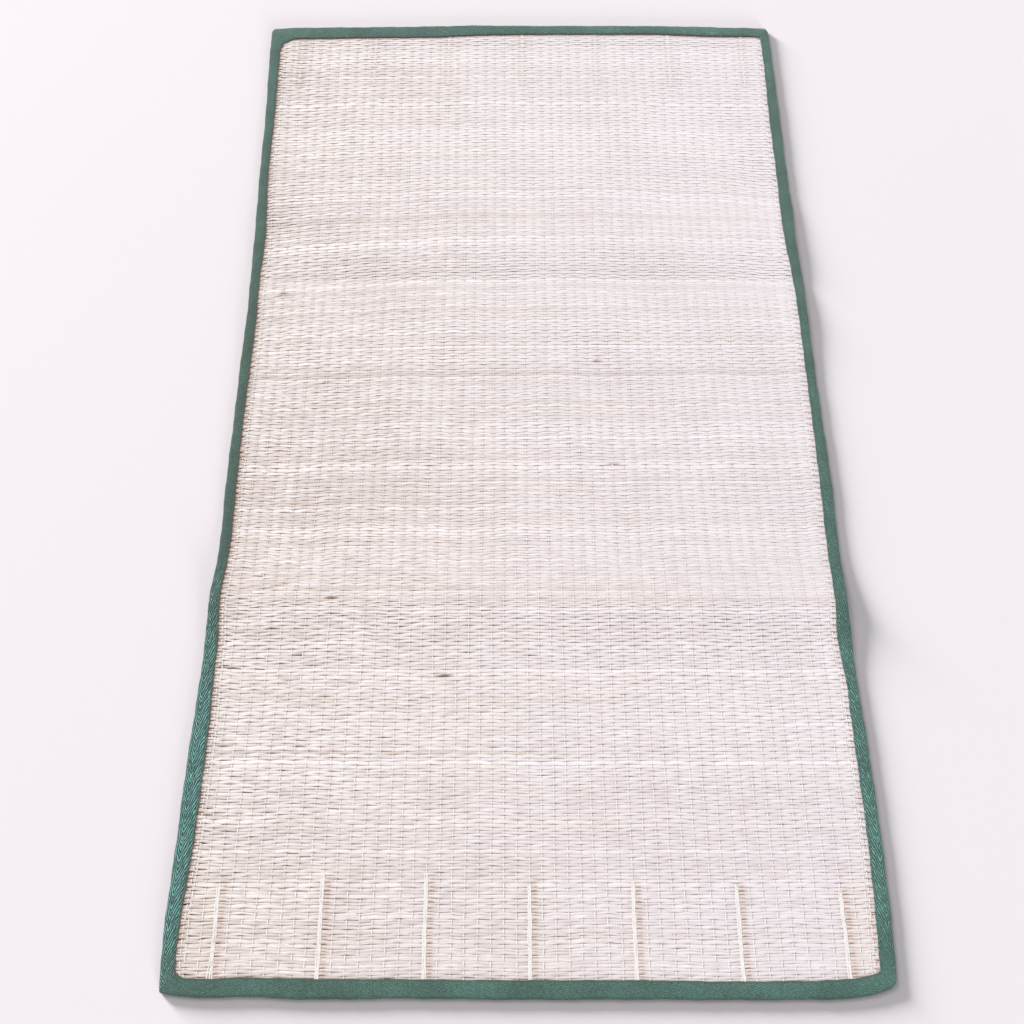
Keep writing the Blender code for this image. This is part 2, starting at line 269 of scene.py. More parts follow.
ROW_BANDS = (
    RowBand(-0.780, 1, 1.20, 0.20, 0.0),
    RowBand(-0.735, 2, 0.85, -0.10, 0.2),
    RowBand(-0.717, 1, 1.20, 0.24, 0.0),
    RowBand(-0.680, 1, 1.20, 0.16, 0.0),
    RowBand(-0.591, 1, 1.30, 0.30, 0.0),
    RowBand(-0.572, 1, 0.90, -0.42, 0.7, -0.2, 0.55),
    RowBand(-0.564, 1, 0.90, -0.20, 0.3),
    RowBand(-0.500, 3, 0.90, -0.12, 0.3, 0.1, 0.7),
    RowBand(-0.449, 1, 1.20, 0.26, 0.0),
    RowBand(-0.430, 1, 0.85, -0.25, 0.6, -0.2, 0.30),
    RowBand(-0.353, 2, 1.05, 0.22, -0.1),
    RowBand(-0.333, 1, 0.90, -0.46, 0.6),
    RowBand(-0.316, 1, 0.95, -0.42, 0.7, -0.2, 0.70),
    RowBand(-0.295, 2, 0.90, -0.22, 0.6, -0.2, 0.32),
    RowBand(-0.262, 1, 1.15, 0.18, 0.0, -0.2, 0.6),
    RowBand(-0.225, 2, 0.90, -0.15, 0.4, -0.2, 0.4),
    RowBand(-0.205, 1, 1.10, 0.20, 0.0, -0.2, 0.5),
    RowBand(-0.160, 2, 0.95, -0.24, 0.7, -0.2, 0.4),
    RowBand(-0.143, 1, 1.10, 0.18, 0.0),
    RowBand(-0.121, 1, 1.15, 0.24, 0.0),
    RowBand(-0.037, 1, 1.15, 0.26, 0.0),
    RowBand(0.003, 1, 1.10, 0.14, 0.0, -0.2, 0.5),
    RowBand(0.029, 2, 0.90, -0.18, 0.3),
    RowBand(0.089, 2, 0.90, -0.20, 0.3),
    RowBand(0.143, 1, 1.15, 0.28, 0.0),
    RowBand(0.158, 1, 0.90, -0.16, 0.3),
    RowBand(0.180, 1, 1.10, 0.18, 0.0, -0.2, 0.4),
    RowBand(0.200, 1, 1.10, 0.24, 0.0),
    RowBand(0.250, 2, 0.90, -0.14, 0.4, -0.2, 0.4),
    RowBand(0.278, 1, 0.90, -0.24, 0.3),
    RowBand(0.314, 1, 1.05, 0.05, 0.0),
    RowBand(0.368, 2, 1.10, 0.17, 0.0, -0.2, 0.45),
    RowBand(0.392, 1, 0.90, -0.20, 0.3),
    RowBand(0.435, 1, 0.90, -0.16, 0.3),
    RowBand(0.480, 1, 1.15, 0.20, 0.0),
    RowBand(0.501, 1, 0.90, -0.18, 0.3),
    RowBand(0.640, 1, 1.10, 0.12, 0.0),
    RowBand(0.693, 1, 1.10, 0.12, 0.0),
    RowBand(0.724, 1, 1.10, 0.14, 0.0),
)


@dataclass(frozen=True)
class Stain:
    """A brown spot on a few splints, at a share of the mat's width."""

    share: float
    along: float
    length: float
    rows: int
    strength: float


STAINS = (
    Stain(0.060, 0.252, 0.011, 2, 1.00),
    Stain(0.150, 0.070, 0.007, 1, 1.30),
    Stain(0.367, -0.453, 0.010, 1, 1.70),
    Stain(0.145, -0.421, 0.007, 1, 1.80),
    Stain(0.188, -0.328, 0.008, 1, 1.90),
    Stain(0.110, -0.300, 0.008, 1, 0.90),
    Stain(0.560, -0.300, 0.006, 1, 0.50),
    Stain(0.400, -0.800, 0.008, 1, 0.50),
    Stain(0.940, -0.735, 0.007, 1, 0.55),
    Stain(0.700, -0.350, 0.006, 1, 0.60),
    Stain(0.040, -0.665, 0.014, 1, 1.00),
    Stain(0.230, 0.540, 0.009, 2, 0.35),
    Stain(0.620, 0.120, 0.007, 1, 0.80),
    Stain(0.640, -0.085, 0.009, 1, 1.30),
    Stain(0.038, -0.440, 0.014, 1, 1.50),
    Stain(0.045, -0.560, 0.016, 1, 0.90),
)


class Side(Enum):
    """One of the mat's four edges."""

    LEFT = "left"
    RIGHT = "right"
    NEAR = "near"
    FAR = "far"

    @property
    def is_end(self) -> bool:
        """Whether the edge is one of the two short ends."""
        return self in (Side.NEAR, Side.FAR)


@dataclass(frozen=True)
class EdgeShade:
    """The line of shade under a tape's inner edge. Inward is the way into the mat."""

    side: Side
    inward: int
    reach: float
    strength: float


EDGE_SHADES = (
    EdgeShade(Side.LEFT, 1, 0.0030, 0.55),
    EdgeShade(Side.FAR, -1, 0.0055, 0.62),
    EdgeShade(Side.NEAR, 1, 0.0040, 0.50),
)


def values_of(table: Sequence, key: str) -> Values:
    """The values of one field in all the rows of a table."""
    return np.array([getattr(row, key) for row in table])


def read(table: Sequence, column: str, place: Values) -> Values:
    """Values of a table's column on a smooth curve through its rows.

    Args:
        table: Rows whose first field is their place.
        column: Name of the field to read.
        place: Places to read at.

    Returns:
        The column's value at each place.
    """
    places = values_of(table, next(iter(table[0].__dataclass_fields__)))
    values = values_of(table, column)
    slopes = np.gradient(values, places)
    place = np.clip(place, places[0], places[-1])
    row = np.clip(np.searchsorted(places, place, side="right") - 1, 0, len(places) - 2)
    span = places[row + 1] - places[row]
    t = (place - places[row]) / span
    start = values[row] * (1 + 2 * t) * (1 - t) ** 2 + slopes[row] * span * t * (1 - t) ** 2
    end = values[row + 1] * t * t * (3 - 2 * t) - slopes[row + 1] * span * t * t * (1 - t)
    return start + end


def smooth_step(low: float, high: float, value: Values) -> Values:
    """Rises smoothly from 0 at low to 1 at high."""
    t = np.clip((value - low) / (high - low), 0.0, 1.0)
    return t * t * (3 - 2 * t)


def mix(first: float, second: float, share: Values) -> Values:
    """Turns a first value into a second one as the share goes from 0 to 1."""
    return first + (second - first) * share


def hump(place: Values, middle: Values, reach: float) -> Values:
    """1 at a middle, fading to 0 on both sides of it."""
    return np.exp(-(((place - middle) / reach) ** 2))


def add_object(name: str, data: bpy.types.ID) -> Piece:
    """Adds an object with its mesh, lamp or camera to the scene."""
    made = bpy.data.objects.new(name, data)
    bpy.context.scene.collection.objects.link(made)
    return made


def note_values(mesh: bpy.types.Mesh, name: str, *columns: Values) -> None:
    """Keeps three values for each vertex of a mesh under a name that its finish reads."""
    layer = mesh.attributes.new(name, "FLOAT_VECTOR", "POINT")
    layer.data.foreach_set("vector", np.stack(columns, axis=1).astype(np.float32).ravel())


class MatPlan:
    """Outline of the mat and the height of its underside, everywhere."""

    def edge(self, side: Side, place: Values) -> Values:
        """Coordinate of an edge at places along it."""
        return read(END_STATIONS if side.is_end else SIDE_STATIONS, f"{side.value}_edge", place)

    def tape(self, side: Side, place: Values) -> Values:
        """Width that an edge's tape shows at places along it."""
        return read(END_STATIONS if side.is_end else SIDE_STATIONS, f"{side.value}_tape", place)

    def fold_lift(self, y: Values) -> Values:
        """Height at which the folds hold the underside off the floor."""
        lift = np.zeros_like(y)
        for fold in FOLDS:
            away = np.hypot(y - fold.along, CREASE_SOFTNESS) - CREASE_SOFTNESS
            t = np.minimum(away / fold.reach, 1.0)
            shape = (1 - t) ** 2 if fold.is_ridge else SWELL_SCALE * t * (1 - t) ** 2
            lift = lift + fold.rise * shape
        return lift

    def rim_lift(self, x: Values, y: Values) -> Values:
        """Extra height of the sheet where the tape's lower leg lies under it."""
        from_side = np.minimum(x - self.edge(Side.LEFT, y), self.edge(Side.RIGHT, y) - x)
        from_end = np.minimum(y - self.edge(Side.NEAR, x), self.edge(Side.FAR, x) - y)
        inside = smooth_step(*SIDE_RIM, from_side) * smooth_step(*END_RIM, from_end)
        return RIM_RISE * (1 - inside)

    def sheet_base(self, x: Values, y: Values) -> Values:
        """Height of the woven sheet's underside."""
        return self.fold_lift(y) + self.rim_lift(x, y)

    def corner(self, right: bool, far: bool) -> Corner:
        """The corner on the given side and end."""
        return next(c for c in CORNERS if c.right == right and c.far == far)

    def place(
        self, across: Values, along: Values, aside: Values, ahead: Values
    ) -> tuple[Values, Values]:
        """Points in plan, from shares of the outline and steps away from them.

        Args:
            across: Share of the width, from the left.
            along: Share of the length, from the near end.
            aside: Step to the right, in metres.
            ahead: Step away from the near end, in metres.

        Returns:
            The points' x and y.
        """
        y = NEAR_END + LENGTH * along + ahead
        left = self.edge(Side.LEFT, y)
        right = self.edge(Side.RIGHT, y)
        x = left + (right - left) * across + aside
        on_right = x > (left + right) / 2
        on_far = y > 0
        from_side = np.where(on_right, right - x, x - left)
        from_end = np.where(on_far, FAR_END - y, y - NEAR_END)
        side, end = from_side.copy(), from_end.copy()
        for corner in CORNERS:
            radius = corner.outer_radius
            here = (on_right == corner.right) & (on_far == corner.far)
            here &= (from_side < radius) & (from_end < radius)
            a = 1 - from_side[here] / radius
            b = 1 - from_end[here] / radius
            side[here] = radius * (1 - a * np.sqrt(1 - b * b / 2))
            end[here] = radius * (1 - b * np.sqrt(1 - a * a / 2))
        x = x + np.where(on_right, from_side - side, side - from_side)
        near_bow = self.edge(Side.NEAR, x) - NEAR_END
        far_bow = self.edge(Side.FAR, x) - FAR_END
        y = y + near_bow * self.end_bow(y - NEAR_END) + far_bow * self.end_bow(FAR_END - y)
        y = y + np.where(on_far, from_end - end, end - from_end)
        return x, y

    def end_bow(self, distance: Values) -> Values:
        """Share of an end edge's bow that is left at a distance from that end."""
        return np.maximum(0.0, 1.0 - np.maximum(distance, 0.0) / END_BOW_REACH) ** 2


@dataclass(frozen=True)
class Strand:
    """A closed strand before it is bent: how many pieces it has along and around."""

    segments: int
    sides: int


STRAND_STEP = 4.0


class StrandBundle:
    """Equal straight strands side by side in one mesh, ready to be bent into place."""

    def __init__(self, name: str, strand: Strand, count: int) -> None:
        """Makes one closed strand along X and repeats it across.

        Args:
            name: Name of the piece.
            strand: What each strand is made of.
            count: Number of strands.
        """
        shape = bmesh.new()
        bmesh.ops.create_cone(
            shape,
            cap_ends=True,
            cap_tris=False,
            segments=strand.sides,
            radius1=1.0,
            radius2=1.0,
            depth=strand.segments,
        )
        laid = Matrix.Translation((strand.segments / 2, 0, 0)) @ Matrix.Rotation(math.pi / 2, 4, "Y")
        bmesh.ops.transform(shape, matrix=laid, verts=shape.verts)
        long_edges = [e for e in shape.edges if abs(e.verts[0].co.x - e.verts[1].co.x) > 0.5]
        if strand.segments > 1:
            bmesh.ops.subdivide_edges(shape, edges=long_edges, cuts=strand.segments - 1)
        mesh = bpy.data.meshes.new(name)
        shape.to_mesh(mesh)
        shape.free()
        single = add_object(name, mesh)
        repeat = single.modifiers.new("repeat", "ARRAY")
        repeat.count = count
        repeat.use_relative_offset = False
        repeat.use_constant_offset = True
        repeat.constant_offset_displace = (0, STRAND_STEP, 0)
        repeated = single.evaluated_get(bpy.context.evaluated_depsgraph_get())
        self.mesh = bpy.data.meshes.new_from_object(repeated)
        bpy.data.objects.remove(single)
        bpy.data.meshes.remove(mesh)
        self.mesh.name = name
        self.name = name
        flat = np.empty(len(self.mesh.vertices) * 3, np.float32)
        self.mesh.vertices.foreach_get("co", flat)
        straight = flat.reshape(-1, 3).astype(float)
        self.strand = np.rint(straight[:, 1] / STRAND_STEP).astype(int)
        self.station = np.rint(straight[:, 0]).astype(int)
        angle = np.arctan2(straight[:, 2], straight[:, 1] - self.strand * STRAND_STEP)
        self.corner = np.rint((angle % (2 * math.pi)) / (2 * math.pi / strand.sides)).astype(int)
        self.corner %= strand.sides

    def bend(self, x: Values, y: Values, z: Values) -> None:
        """Moves every vertex to its own place."""
        places = np.stack([x, y, z], axis=1).astype(np.float32)
        self.mesh.vertices.foreach_set("co", places.ravel())
        self.mesh.update()

    def note(self, name: str, first: Values, second: Values, third: Values) -> None:
        """Keeps three values for each vertex under a name that the finishes read."""
        note_values(self.mesh, name, first, second, third)

    def finish(self, material: Material) -> Piece:
        """Makes the bent strands an object with a material."""
        self.mesh.materials.clear()
        self.mesh.materials.append(material)
        self.mesh.shade_smooth()
        return add_object(self.name, self.mesh)


@dataclass(frozen=True)
class Crossings:
    """The places of a splint row's stations: a thread and a share of the way to the next."""

    thread: Values
    share: Values
    tail: Values


@dataclass
class Weave:
    """Where every splint row and every warp thread runs, and how bright each splint is."""

    plan: MatPlan
    seed: int = 11
    threads: int = 55
    thread_middle: float = 0.0010
    selvage_inset: float = 0.0055
    thread_wander: float = 0.0004
    row_wander: float = 0.0020
    end_reach: float = 0.100
    pitch_spread: float = 0.19
    held_near: float = 0.30
    held_far: float = 0.0
    held_end: float = -0.76
    longest_run: int = 2
    pinch_out: float = -0.0004
    pinch_width: float = 0.0026
    pinch_pull: float = 0.07
    pitch_range: tuple[float, float] = (0.60, 1.65)
    tone_drift: float = 0.050
    tone_chance: float = 0.075
    warmth_chance: float = 0.09
    warmth_range: tuple[float, float] = (-0.3, 0.4)
    near_calm: float = 0.45
    selvage_clear: float = 0.0045

    def __post_init__(self) -> None:
        """Lays the rows from the near end to the far one and draws their chances."""
        self.random = np.random.default_rng(self.seed)
        self.middle_thread = self.threads // 2
        self._lay_rows()
        shape = (self.rows, self.threads)
        self.brick_tone = np.clip(self.random.normal(0.0, 0.060, shape), -0.12, 0.11)
        self.brick_width = self.random.normal(0.0, 0.045, shape)
        self.brick_tilt = self.random.normal(0.00020, 0.00030, shape)
        self.brick_shift = self.random.normal(0.0, 0.00016, shape)
        self.brick_height = self.random.normal(0.0, 0.00014, shape)
        self.row_chance = self.random.uniform(0, 1, self.rows)
        self.thread_phase = self.random.uniform(0, 2 * math.pi, self.threads)
        self.thread_length = self.random.uniform(0.12, 0.30, self.threads)

    def _lay_rows(self) -> None:
        """Sets each row's middle, pitch, tone and warmth."""
        middles, pitches, tones, warmths, bands, sheds = [], [], [], [], [], []
        y = NEAR_END + SHEET_MARGIN
        slow_tone = 0.0
        shed, run = 0, 1
        left_in_band, band = 0, None
        while y < FAR_END - SHEET_MARGIN - 0.003:
            usual = float(read(ROW_PITCHES, "pitch", np.array(y)))
            factor = np.exp(self.random.normal(-0.03, self.pitch_spread))
            factor = float(np.clip(factor, *self.pitch_range))
            slow_tone = 0.6 * slow_tone + self.random.normal(0.0, self.tone_drift)
            calmed = 1 - self.near_calm * float(self.bluntness(np.array(y)))
            tone = calmed * (slow_tone + self.random.normal(0.0, self.tone_chance))
            held = self.held_near if y < self.held_end else self.held_far
            holds = self.random.uniform() < held and run < self.longest_run
            run = run + 1 if holds else 1
            shed = shed if holds else 1 - shed
            warmth = self.random.normal(0.0, self.warmth_chance)
            warmth = float(np.clip(warmth, *self.warmth_range))
            if left_in_band == 0:
                band = next((b for b in ROW_BANDS if y <= b.along < y + usual * factor), None)
                left_in_band = band.rows if band else 0
            if left_in_band > 0:
                left_in_band -= 1
                factor = band.width * (0.9 + 0.1 * factor)
            pitch = usual * factor
            middles.append(y + pitch / 2)
            pitches.append(pitch)
            tones.append(tone)
            warmths.append(warmth)
            bands.append(ROW_BANDS.index(band) if band else -1)
            sheds.append(shed)
            if left_in_band == 0:
                band = None
            y += pitch
        self.middles = np.array(middles)
        self.pitches = np.array(pitches)
        self.row_tones = np.array(tones)
        self.row_warmths = np.array(warmths)
        self.row_bands = np.array(bands)
        self.row_sheds = np.array(sheds)
        self.rows = len(middles)

    def over(self, row: Values, thread: Values) -> Values:
        """1 where a splint passes over a warp thread, and -1 where it passes under."""
        return np.where((self.row_sheds[row] + thread) % 2 == 0, 1.0, -1.0)

    def selvage(self, side: Side, y: Values) -> Values:
        """Where the last warp thread of a side runs."""
        inward = 1 if side is Side.LEFT else -1
        return self.plan.edge(side, y) + inward * (self.plan.tape(side, y) + self.selvage_inset)

    def thread_x(self, thread: Values, y: Values) -> Values:
        """Where a warp thread runs at places along the mat."""
        left = self.selvage(Side.LEFT, y)
        right = self.selvage(Side.RIGHT, y)
        pitch = read(THREAD_PITCHES, "pitch", y)
        x = self.thread_middle + (thread - self.middle_thread) * pitch
        turn = 2 * math.pi * y / self.thread_length[thread] + self.thread_phase[thread]
        x = x + self.thread_wander * np.sin(turn)
        x = np.clip(x, left + self.selvage_clear, right - self.selvage_clear)
        x = np.where(thread == 0, left, x)
        return np.where(thread == self.threads - 1, right, x)

    def station_places(self, row: Values, at: Crossings) -> Values:
        """Where a row's stations stand across the mat.

        Args:
            row: Row number of each point.
            at: The crossing that each point belongs to.

        Returns:
            Their x.
        """
        y = self.middles[row]
        following = np.minimum(at.thread + 1, self.threads - 1)
        here = self.thread_x(at.thread, y)
        x = here + (self.thread_x(following, y) - here) * at.share
        left = self.plan.edge(Side.LEFT, y) + SHEET_MARGIN
        right = self.plan.edge(Side.RIGHT, y) - SHEET_MARGIN
        x = np.where(at.tail < 0, x + (left - x) * -at.tail, x)
        return np.where(at.tail > 0, x + (right - x) * at.tail, x)

    def partner(self, row: Values, side: Side) -> Values:
        """The row that a row turns back into at a selvage."""
        first = 0 if side is Side.LEFT else 1
        other = ((row + first) ^ 1) - first
        return np.clip(other, 0, self.rows - 1)

    def pinch(self, x: Values, y: Values, side: Side) -> Values:
        """1 just outside the last warp thread, where a row and its partner are drawn together."""
        outward = -1 if side is Side.LEFT else 1
        middle = self.selvage(side, y) + outward * self.pinch_out
        return hump(x, middle, self.pinch_width)

    def row_y(self, row: Values, x: Values) -> Values:
        """Where a row's middle line runs along the mat at places across it."""
        y = self.middles[row]
        left = self.plan.edge(Side.LEFT, y)
        right = self.plan.edge(Side.RIGHT, y)
        crest = left + (right - left) * ROW_CREST
        to_left = np.maximum(crest - x, 0) / (crest - left)
        to_right = np.maximum(x - crest, 0) / (right - crest)
        line = y - read(ROW_BOWS, "left", y) * to_left**2
        line = line - read(ROW_BOWS, "right", y) * to_right**2
        for side, end, inward in ((Side.NEAR, NEAR_END, 1), (Side.FAR, FAR_END, -1)):
            left_over = np.maximum(0.0, 1 - inward * (y - end) / self.end_reach) ** 2
            line = line + (self.plan.edge(side, x) - end) * left_over
        wander = self.row_wander * (1 - self.near_calm * self.bluntness(y))
        line = line + wander * np.sin(x / 0.037 + y / 0.110) * np.sin(y / 0.071 + 1.3)
        line = line + 0.5 * wander * np.sin(x / 0.019 - y / 0.083) * np.sin(y / 0.047)
        for side in (Side.LEFT, Side.RIGHT):
            other = self.middles[self.partner(row, side)]
            line = line + self.pinch_pull * (other - y) * self.pinch(x, y, side)
        return line

    def bluntness(self, y: Values) -> Values:
        """1 near the camera, where bricks end bluntly, and 0 where the rows only wave."""
        return smooth_step(-0.24, -0.38, y)

    def contrast(self, x: Values, y: Values) -> Values:
        """How uneven the splints look: most at the near left, least at the far right."""
        along = 1.0 + 0.07 * smooth_step(-0.50, -0.30, y) - 0.37 * smooth_step(-0.35, 0.60, y)
        along = along + 0.15 * smooth_step(0.60, 0.80, y) * (1 - 1.2 * np.maximum(x, 0))
        along = along + 0.13 * hump(y, -0.46, 0.15) * np.clip(x / 0.2, 0, 1)
        side = 1 - np.where(x < 0, 1.1, 0.45) * x
        beyond = smooth_step(-0.48, -0.15, y)
        return along * side * (1 + beyond * np.where(x < 0, -0.95, -0.70) * x)

    def in_band(self, row: Values, x: Values) -> tuple[Values, Values]:
        """Extra tone and warmth of points whose row belongs to a band."""
        band = self.row_bands[row]
        y = self.middles[row]
        left = self.plan.edge(Side.LEFT, y)
        share = (x - left) / (self.plan.edge(Side.RIGHT, y) - left)
        first = values_of(ROW_BANDS, "first_share")[band]
        last = values_of(ROW_BANDS, "last_share")[band]
        inside = smooth_step(-0.08, 0.08, share - first) * smooth_step(-0.08, 0.08, last - share)
        inside = np.where(band >= 0, inside, 0.0)
        tone, warmth = values_of(ROW_BANDS, "tone")[band], values_of(ROW_BANDS, "warmth")[band]
        return tone * inside, warmth * inside

    def edge_shade(self, x: Values, y: Values) -> Values:
        """How dark a point is under the inner edge of a tape."""
        dark = np.zeros_like(x)
        for shade in EDGE_SHADES:
            place, across = (x, y) if shade.side.is_end else (y, x)
            inside = (across - self.plan.edge(shade.side, place)) * shade.inward
            inside = inside - self.plan.tape(shade.side, place)
            dark = np.maximum(dark, shade.strength * smooth_step(shade.reach, 0.0, inside))
        return dark

    def stained(self, row: Values, x: Values) -> Values:
        """How brown the stains make each point of a row."""
        y = self.middles[row]
        left = self.plan.edge(Side.LEFT, y)
        width = self.plan.edge(Side.RIGHT, y) - left
        every_row = np.arange(self.rows)
        brown = np.zeros_like(x)
        for stain in STAINS:
            middle = left + stain.share * width
            there = self.row_y(every_row, np.full(self.rows, float(middle[0])))
            first = int(np.argmin(np.abs(there - stain.along)))
            spot = stain.strength * hump(x, middle, stain.length)
            is_stained = (row >= first) & (row < first + stain.rows)
            brown = np.where(is_stained, np.maximum(brown, spot), brown)
        return brown


@dataclass(frozen=True)
class SplintPoints:
    """The points of a piece of the weft, and what is special about each one's place.

    Middle is the place of a point's row along the mat. Blunt, contrast, uneven and
    relief say how the weave looks there, close and shade tell about the end cords,
    outside, left_selvage_band and ticked about the selvages, and outer about the near corners.
    """

    row: Values
    at: Crossings
    x: Values
    middle: Values
    blunt: Values
    contrast: Values
    uneven: Values
    relief: Values
    close: Values
    shade: Values
    outside: Values
    left_selvage_band: Values
    ticked: Values
    outer: Values


@dataclass
class SplintRows:
    """The split sedge of the weft, in a few pieces that follow each other along the mat."""

    weave: Weave
    pieces: int = 6
    tail_steps: int = 3
    thickness: float = 0.00140
    swing: float = 0.00040
    over_width: float = 1.14
    under_width: float = 0.95
    open_width: float = 1.15
    far_over_width: float = 1.36
    far_under_width: float = 0.72
    far_open_width: float = 1.10
    far_relief: float = 0.52
    cord_pinch: float = 0.90
    blunt_step: float = 0.12
    wave_step: float = 0.21
    calm_tone: float = 0.20
    wave_height: float = 0.00075
    steps: int = 3
    far_uneven: float = 0.35
    loop_reach: float = 0.003
    left_selvage_reach: tuple[float, float] = (0.013, 0.001)
    dotted_rows: float = 0.34
    ticked_rows: float = 0.55
    thickness_range: tuple[float, float] = (0.55, 1.25)
    chance_range: tuple[float, float] = (-0.28, 0.20)
    base_tone: float = 0.43
    tone_rise: float = 0.135
    base_warmth: float = 0.38
    far_side_stain: float = 0.15

    # Section of a splint, anticlockwise from its far edge: side, height.
    SECTION = ((1.0, 0.10), (0.66, 0.95), (-0.66, 0.95), (-1.0, 0.10), (0.0, -1.0))

    def crossings(self, station: Values, y: Values) -> Crossings:
        """Which crossing each station of a row belongs to, in rows at the given places."""
        inner = np.clip(station - self.tail_steps, 0, (self.weave.threads - 1) * self.steps)
        beyond = station - self.tail_steps - inner
        step = mix(self.wave_step, self.blunt_step, self.weave.bluntness(y))
        share = np.choose(inner % self.steps, (np.zeros_like(step), step, 1 - step))
        return Crossings(inner // self.steps, share, beyond / self.tail_steps)

    def following(self, at: Crossings) -> Values:
        """The thread after each station's own."""
        return np.minimum(at.thread + 1, self.weave.threads - 1)

    def between(self, table: Values, row: Values, at: Crossings) -> Values:
        """A brick's own chance value, fading out where the splint dips under a thread."""
        following = self.following(at)
        here = table[row, at.thread] * (self.weave.over(row, at.thread) > 0)
        then = table[row, following] * (self.weave.over(row, following) > 0)
        turned = 0.5 - 0.5 * np.cos(math.pi * at.share)
        return here * (1 - turned) + then * turned

    def tilted(self, row: Values, at: Crossings) -> Values:
        """How far a brick's slight turn moves each of its stations along the mat."""
        following = self.following(at)
        here = self.weave.brick_tilt[row, at.thread] * (self.weave.over(row, at.thread) > 0)
        then = self.weave.brick_tilt[row, following] * (self.weave.over(row, following) > 0)
        return (here - then) * np.sin(math.pi * at.share)

    def brick(self, table: Values, row: Values, at: Crossings) -> Values:
        """A brick's own chance value, whole from one end to the other."""
        following = self.following(at)
        mine = np.where(self.weave.over(row, at.thread) > 0, at.thread, following)
        return table[row, mine]

    def beside_cord(self, row: Values, x: Values) -> tuple[Values, Values]:
        """How close a point is to an end cord, and how far it is in the shade beside it."""
        y = self.weave.middles[row]
        along = smooth_step(-0.745, -0.765, y) + smooth_step(0.745, 0.765, y)
        nearest = np.rint((x - CORD_MIDDLE) / CORD_SPACING)
        nearest = np.clip(nearest, -CORDS_BESIDE_MIDDLE, CORDS_BESIDE_MIDDLE)
        aside = x - CORD_MIDDLE - CORD_SPACING * nearest
        close = hump(aside, 0.0, 0.0070) * along
        shade = hump(aside, 0.0058, 0.0034) * along
        return close, np.where(y < 0, shade, 0.0)

    def wave(self, row: Values, at: Crossings) -> Values:
        """How far neighbouring rows wave together between the threads, less in the near part."""
        y = self.weave.middles[row]
        zone = np.sin(y / 0.021 + 1.7 * np.sin(y / 0.053))
        share = 1 - 0.55 * self.weave.bluntness(y)
        swing = self.wave_height * share * zone * np.cos(math.pi * (at.thread + at.share))
        return swing * (1 - np.abs(at.tail))

    def calm(self, row: Values) -> Values:
        """1 for the rows of a bright band, which lie smoother than the others."""
        bright = values_of(ROW_BANDS, "tone") > self.calm_tone
        band = self.weave.row_bands[row]
        return np.where((band >= 0) & bright[band], 1.0, 0.0)

    def width_share(self, row: Values, at: Crossings) -> Values:
        """Width of a splint at its stations, as a share of its row's pitch."""
        following = self.following(at)
        blunt = self.weave.bluntness(self.weave.middles[row])
        calm = 0.6 * self.calm(row)
        over = mix(self.far_over_width, self.over_width, blunt)
        over = over - (over - 1) * calm
        under = mix(self.far_under_width, self.under_width, blunt)
        under = under + (1 - under) * calm
        wide = mix(self.far_open_width, self.open_width, blunt)
        step = mix(self.wave_step, self.blunt_step, blunt)
        here = np.where(self.weave.over(row, at.thread) > 0, over, under)
        then = np.where(self.weave.over(row, following) > 0, over, under)
        near_here = np.maximum(1 - at.share / step, 0.0)
        near_then = np.maximum(1 - (1 - at.share) / step, 0.0)
        return wide + (here - wide) * near_here + (then - wide) * near_then

    def survey(self, row: Values, station: Values) -> SplintPoints:
        """Finds out what is special about the place of every point of a piece.

        Args:
            row: Row number of each point.
            station: Number of each point's station along its row.

        Returns:
            The points.
        """
        weave = self.weave
        middle = weave.middles[row]
        at = self.crossings(station, middle)
        x = weave.station_places(row, at)
        blunt = weave.bluntness(middle)
        close, shade = self.beside_cord(row, x)
        contrast = weave.contrast(x, middle)
        from_left = x - weave.selvage(Side.LEFT, middle)
        from_right = weave.selvage(Side.RIGHT, middle) - x
        outside = smooth_step(0.0, -self.loop_reach, np.minimum(from_left, from_right))
        left_selvage_band = smooth_step(*self.left_selvage_reach, from_left) * (1 - outside)
        return SplintPoints(
            row=row,
            at=at,
            x=x,
            middle=middle,
            blunt=blunt,
            contrast=contrast,
            uneven=mix(self.far_uneven, 1.0, blunt) * contrast**1.5,
            relief=mix(self.far_relief, 1.0, blunt),
            close=close,
            shade=shade,
            outside=outside,
            left_selvage_band=left_selvage_band,
            # Ticked rows are narrower at the left selvage and get painted shade at its openings.
            ticked=left_selvage_band * (weave.row_chance[row] > self.ticked_rows),
            outer=smooth_step(0.388, 0.402, np.abs(x)) * smooth_step(-0.72, -0.78, middle),
        )

    def half_width(self, points: SplintPoints) -> Values:
        """Half the width of the splint at each point."""
        weave, row = self.weave, points.row
        own = self.between(weave.brick_width, row, points.at) * points.uneven
        share = self.width_share(row, points.at) * (1 + own)
        share = share * (1 - (1 - self.cord_pinch) * points.close - 0.08 * points.shade)
        loop = 0.0
        for side in (Side.LEFT, Side.RIGHT):
            loop = loop + weave.pinch(points.x, points.middle, side)
        loop = np.where(weave.row_chance[row] < self.dotted_rows, -0.12, 0.08) * loop
        share = share * (1 + loop + 0.26 * points.outside - 0.16 * points.ticked)
        return share * weave.pitches[row] / 2

    def middle_line(self, points: SplintPoints) -> Values:
        """Where the splint's middle line runs along the mat at each point."""
        weave, row = self.weave, points.row
        y = weave.row_y(row, points.x) + self.wave(row, points.at)
        own = self.between(weave.brick_shift, row, points.at) + self.tilted(row, points.at)
        return y + own * points.uneven

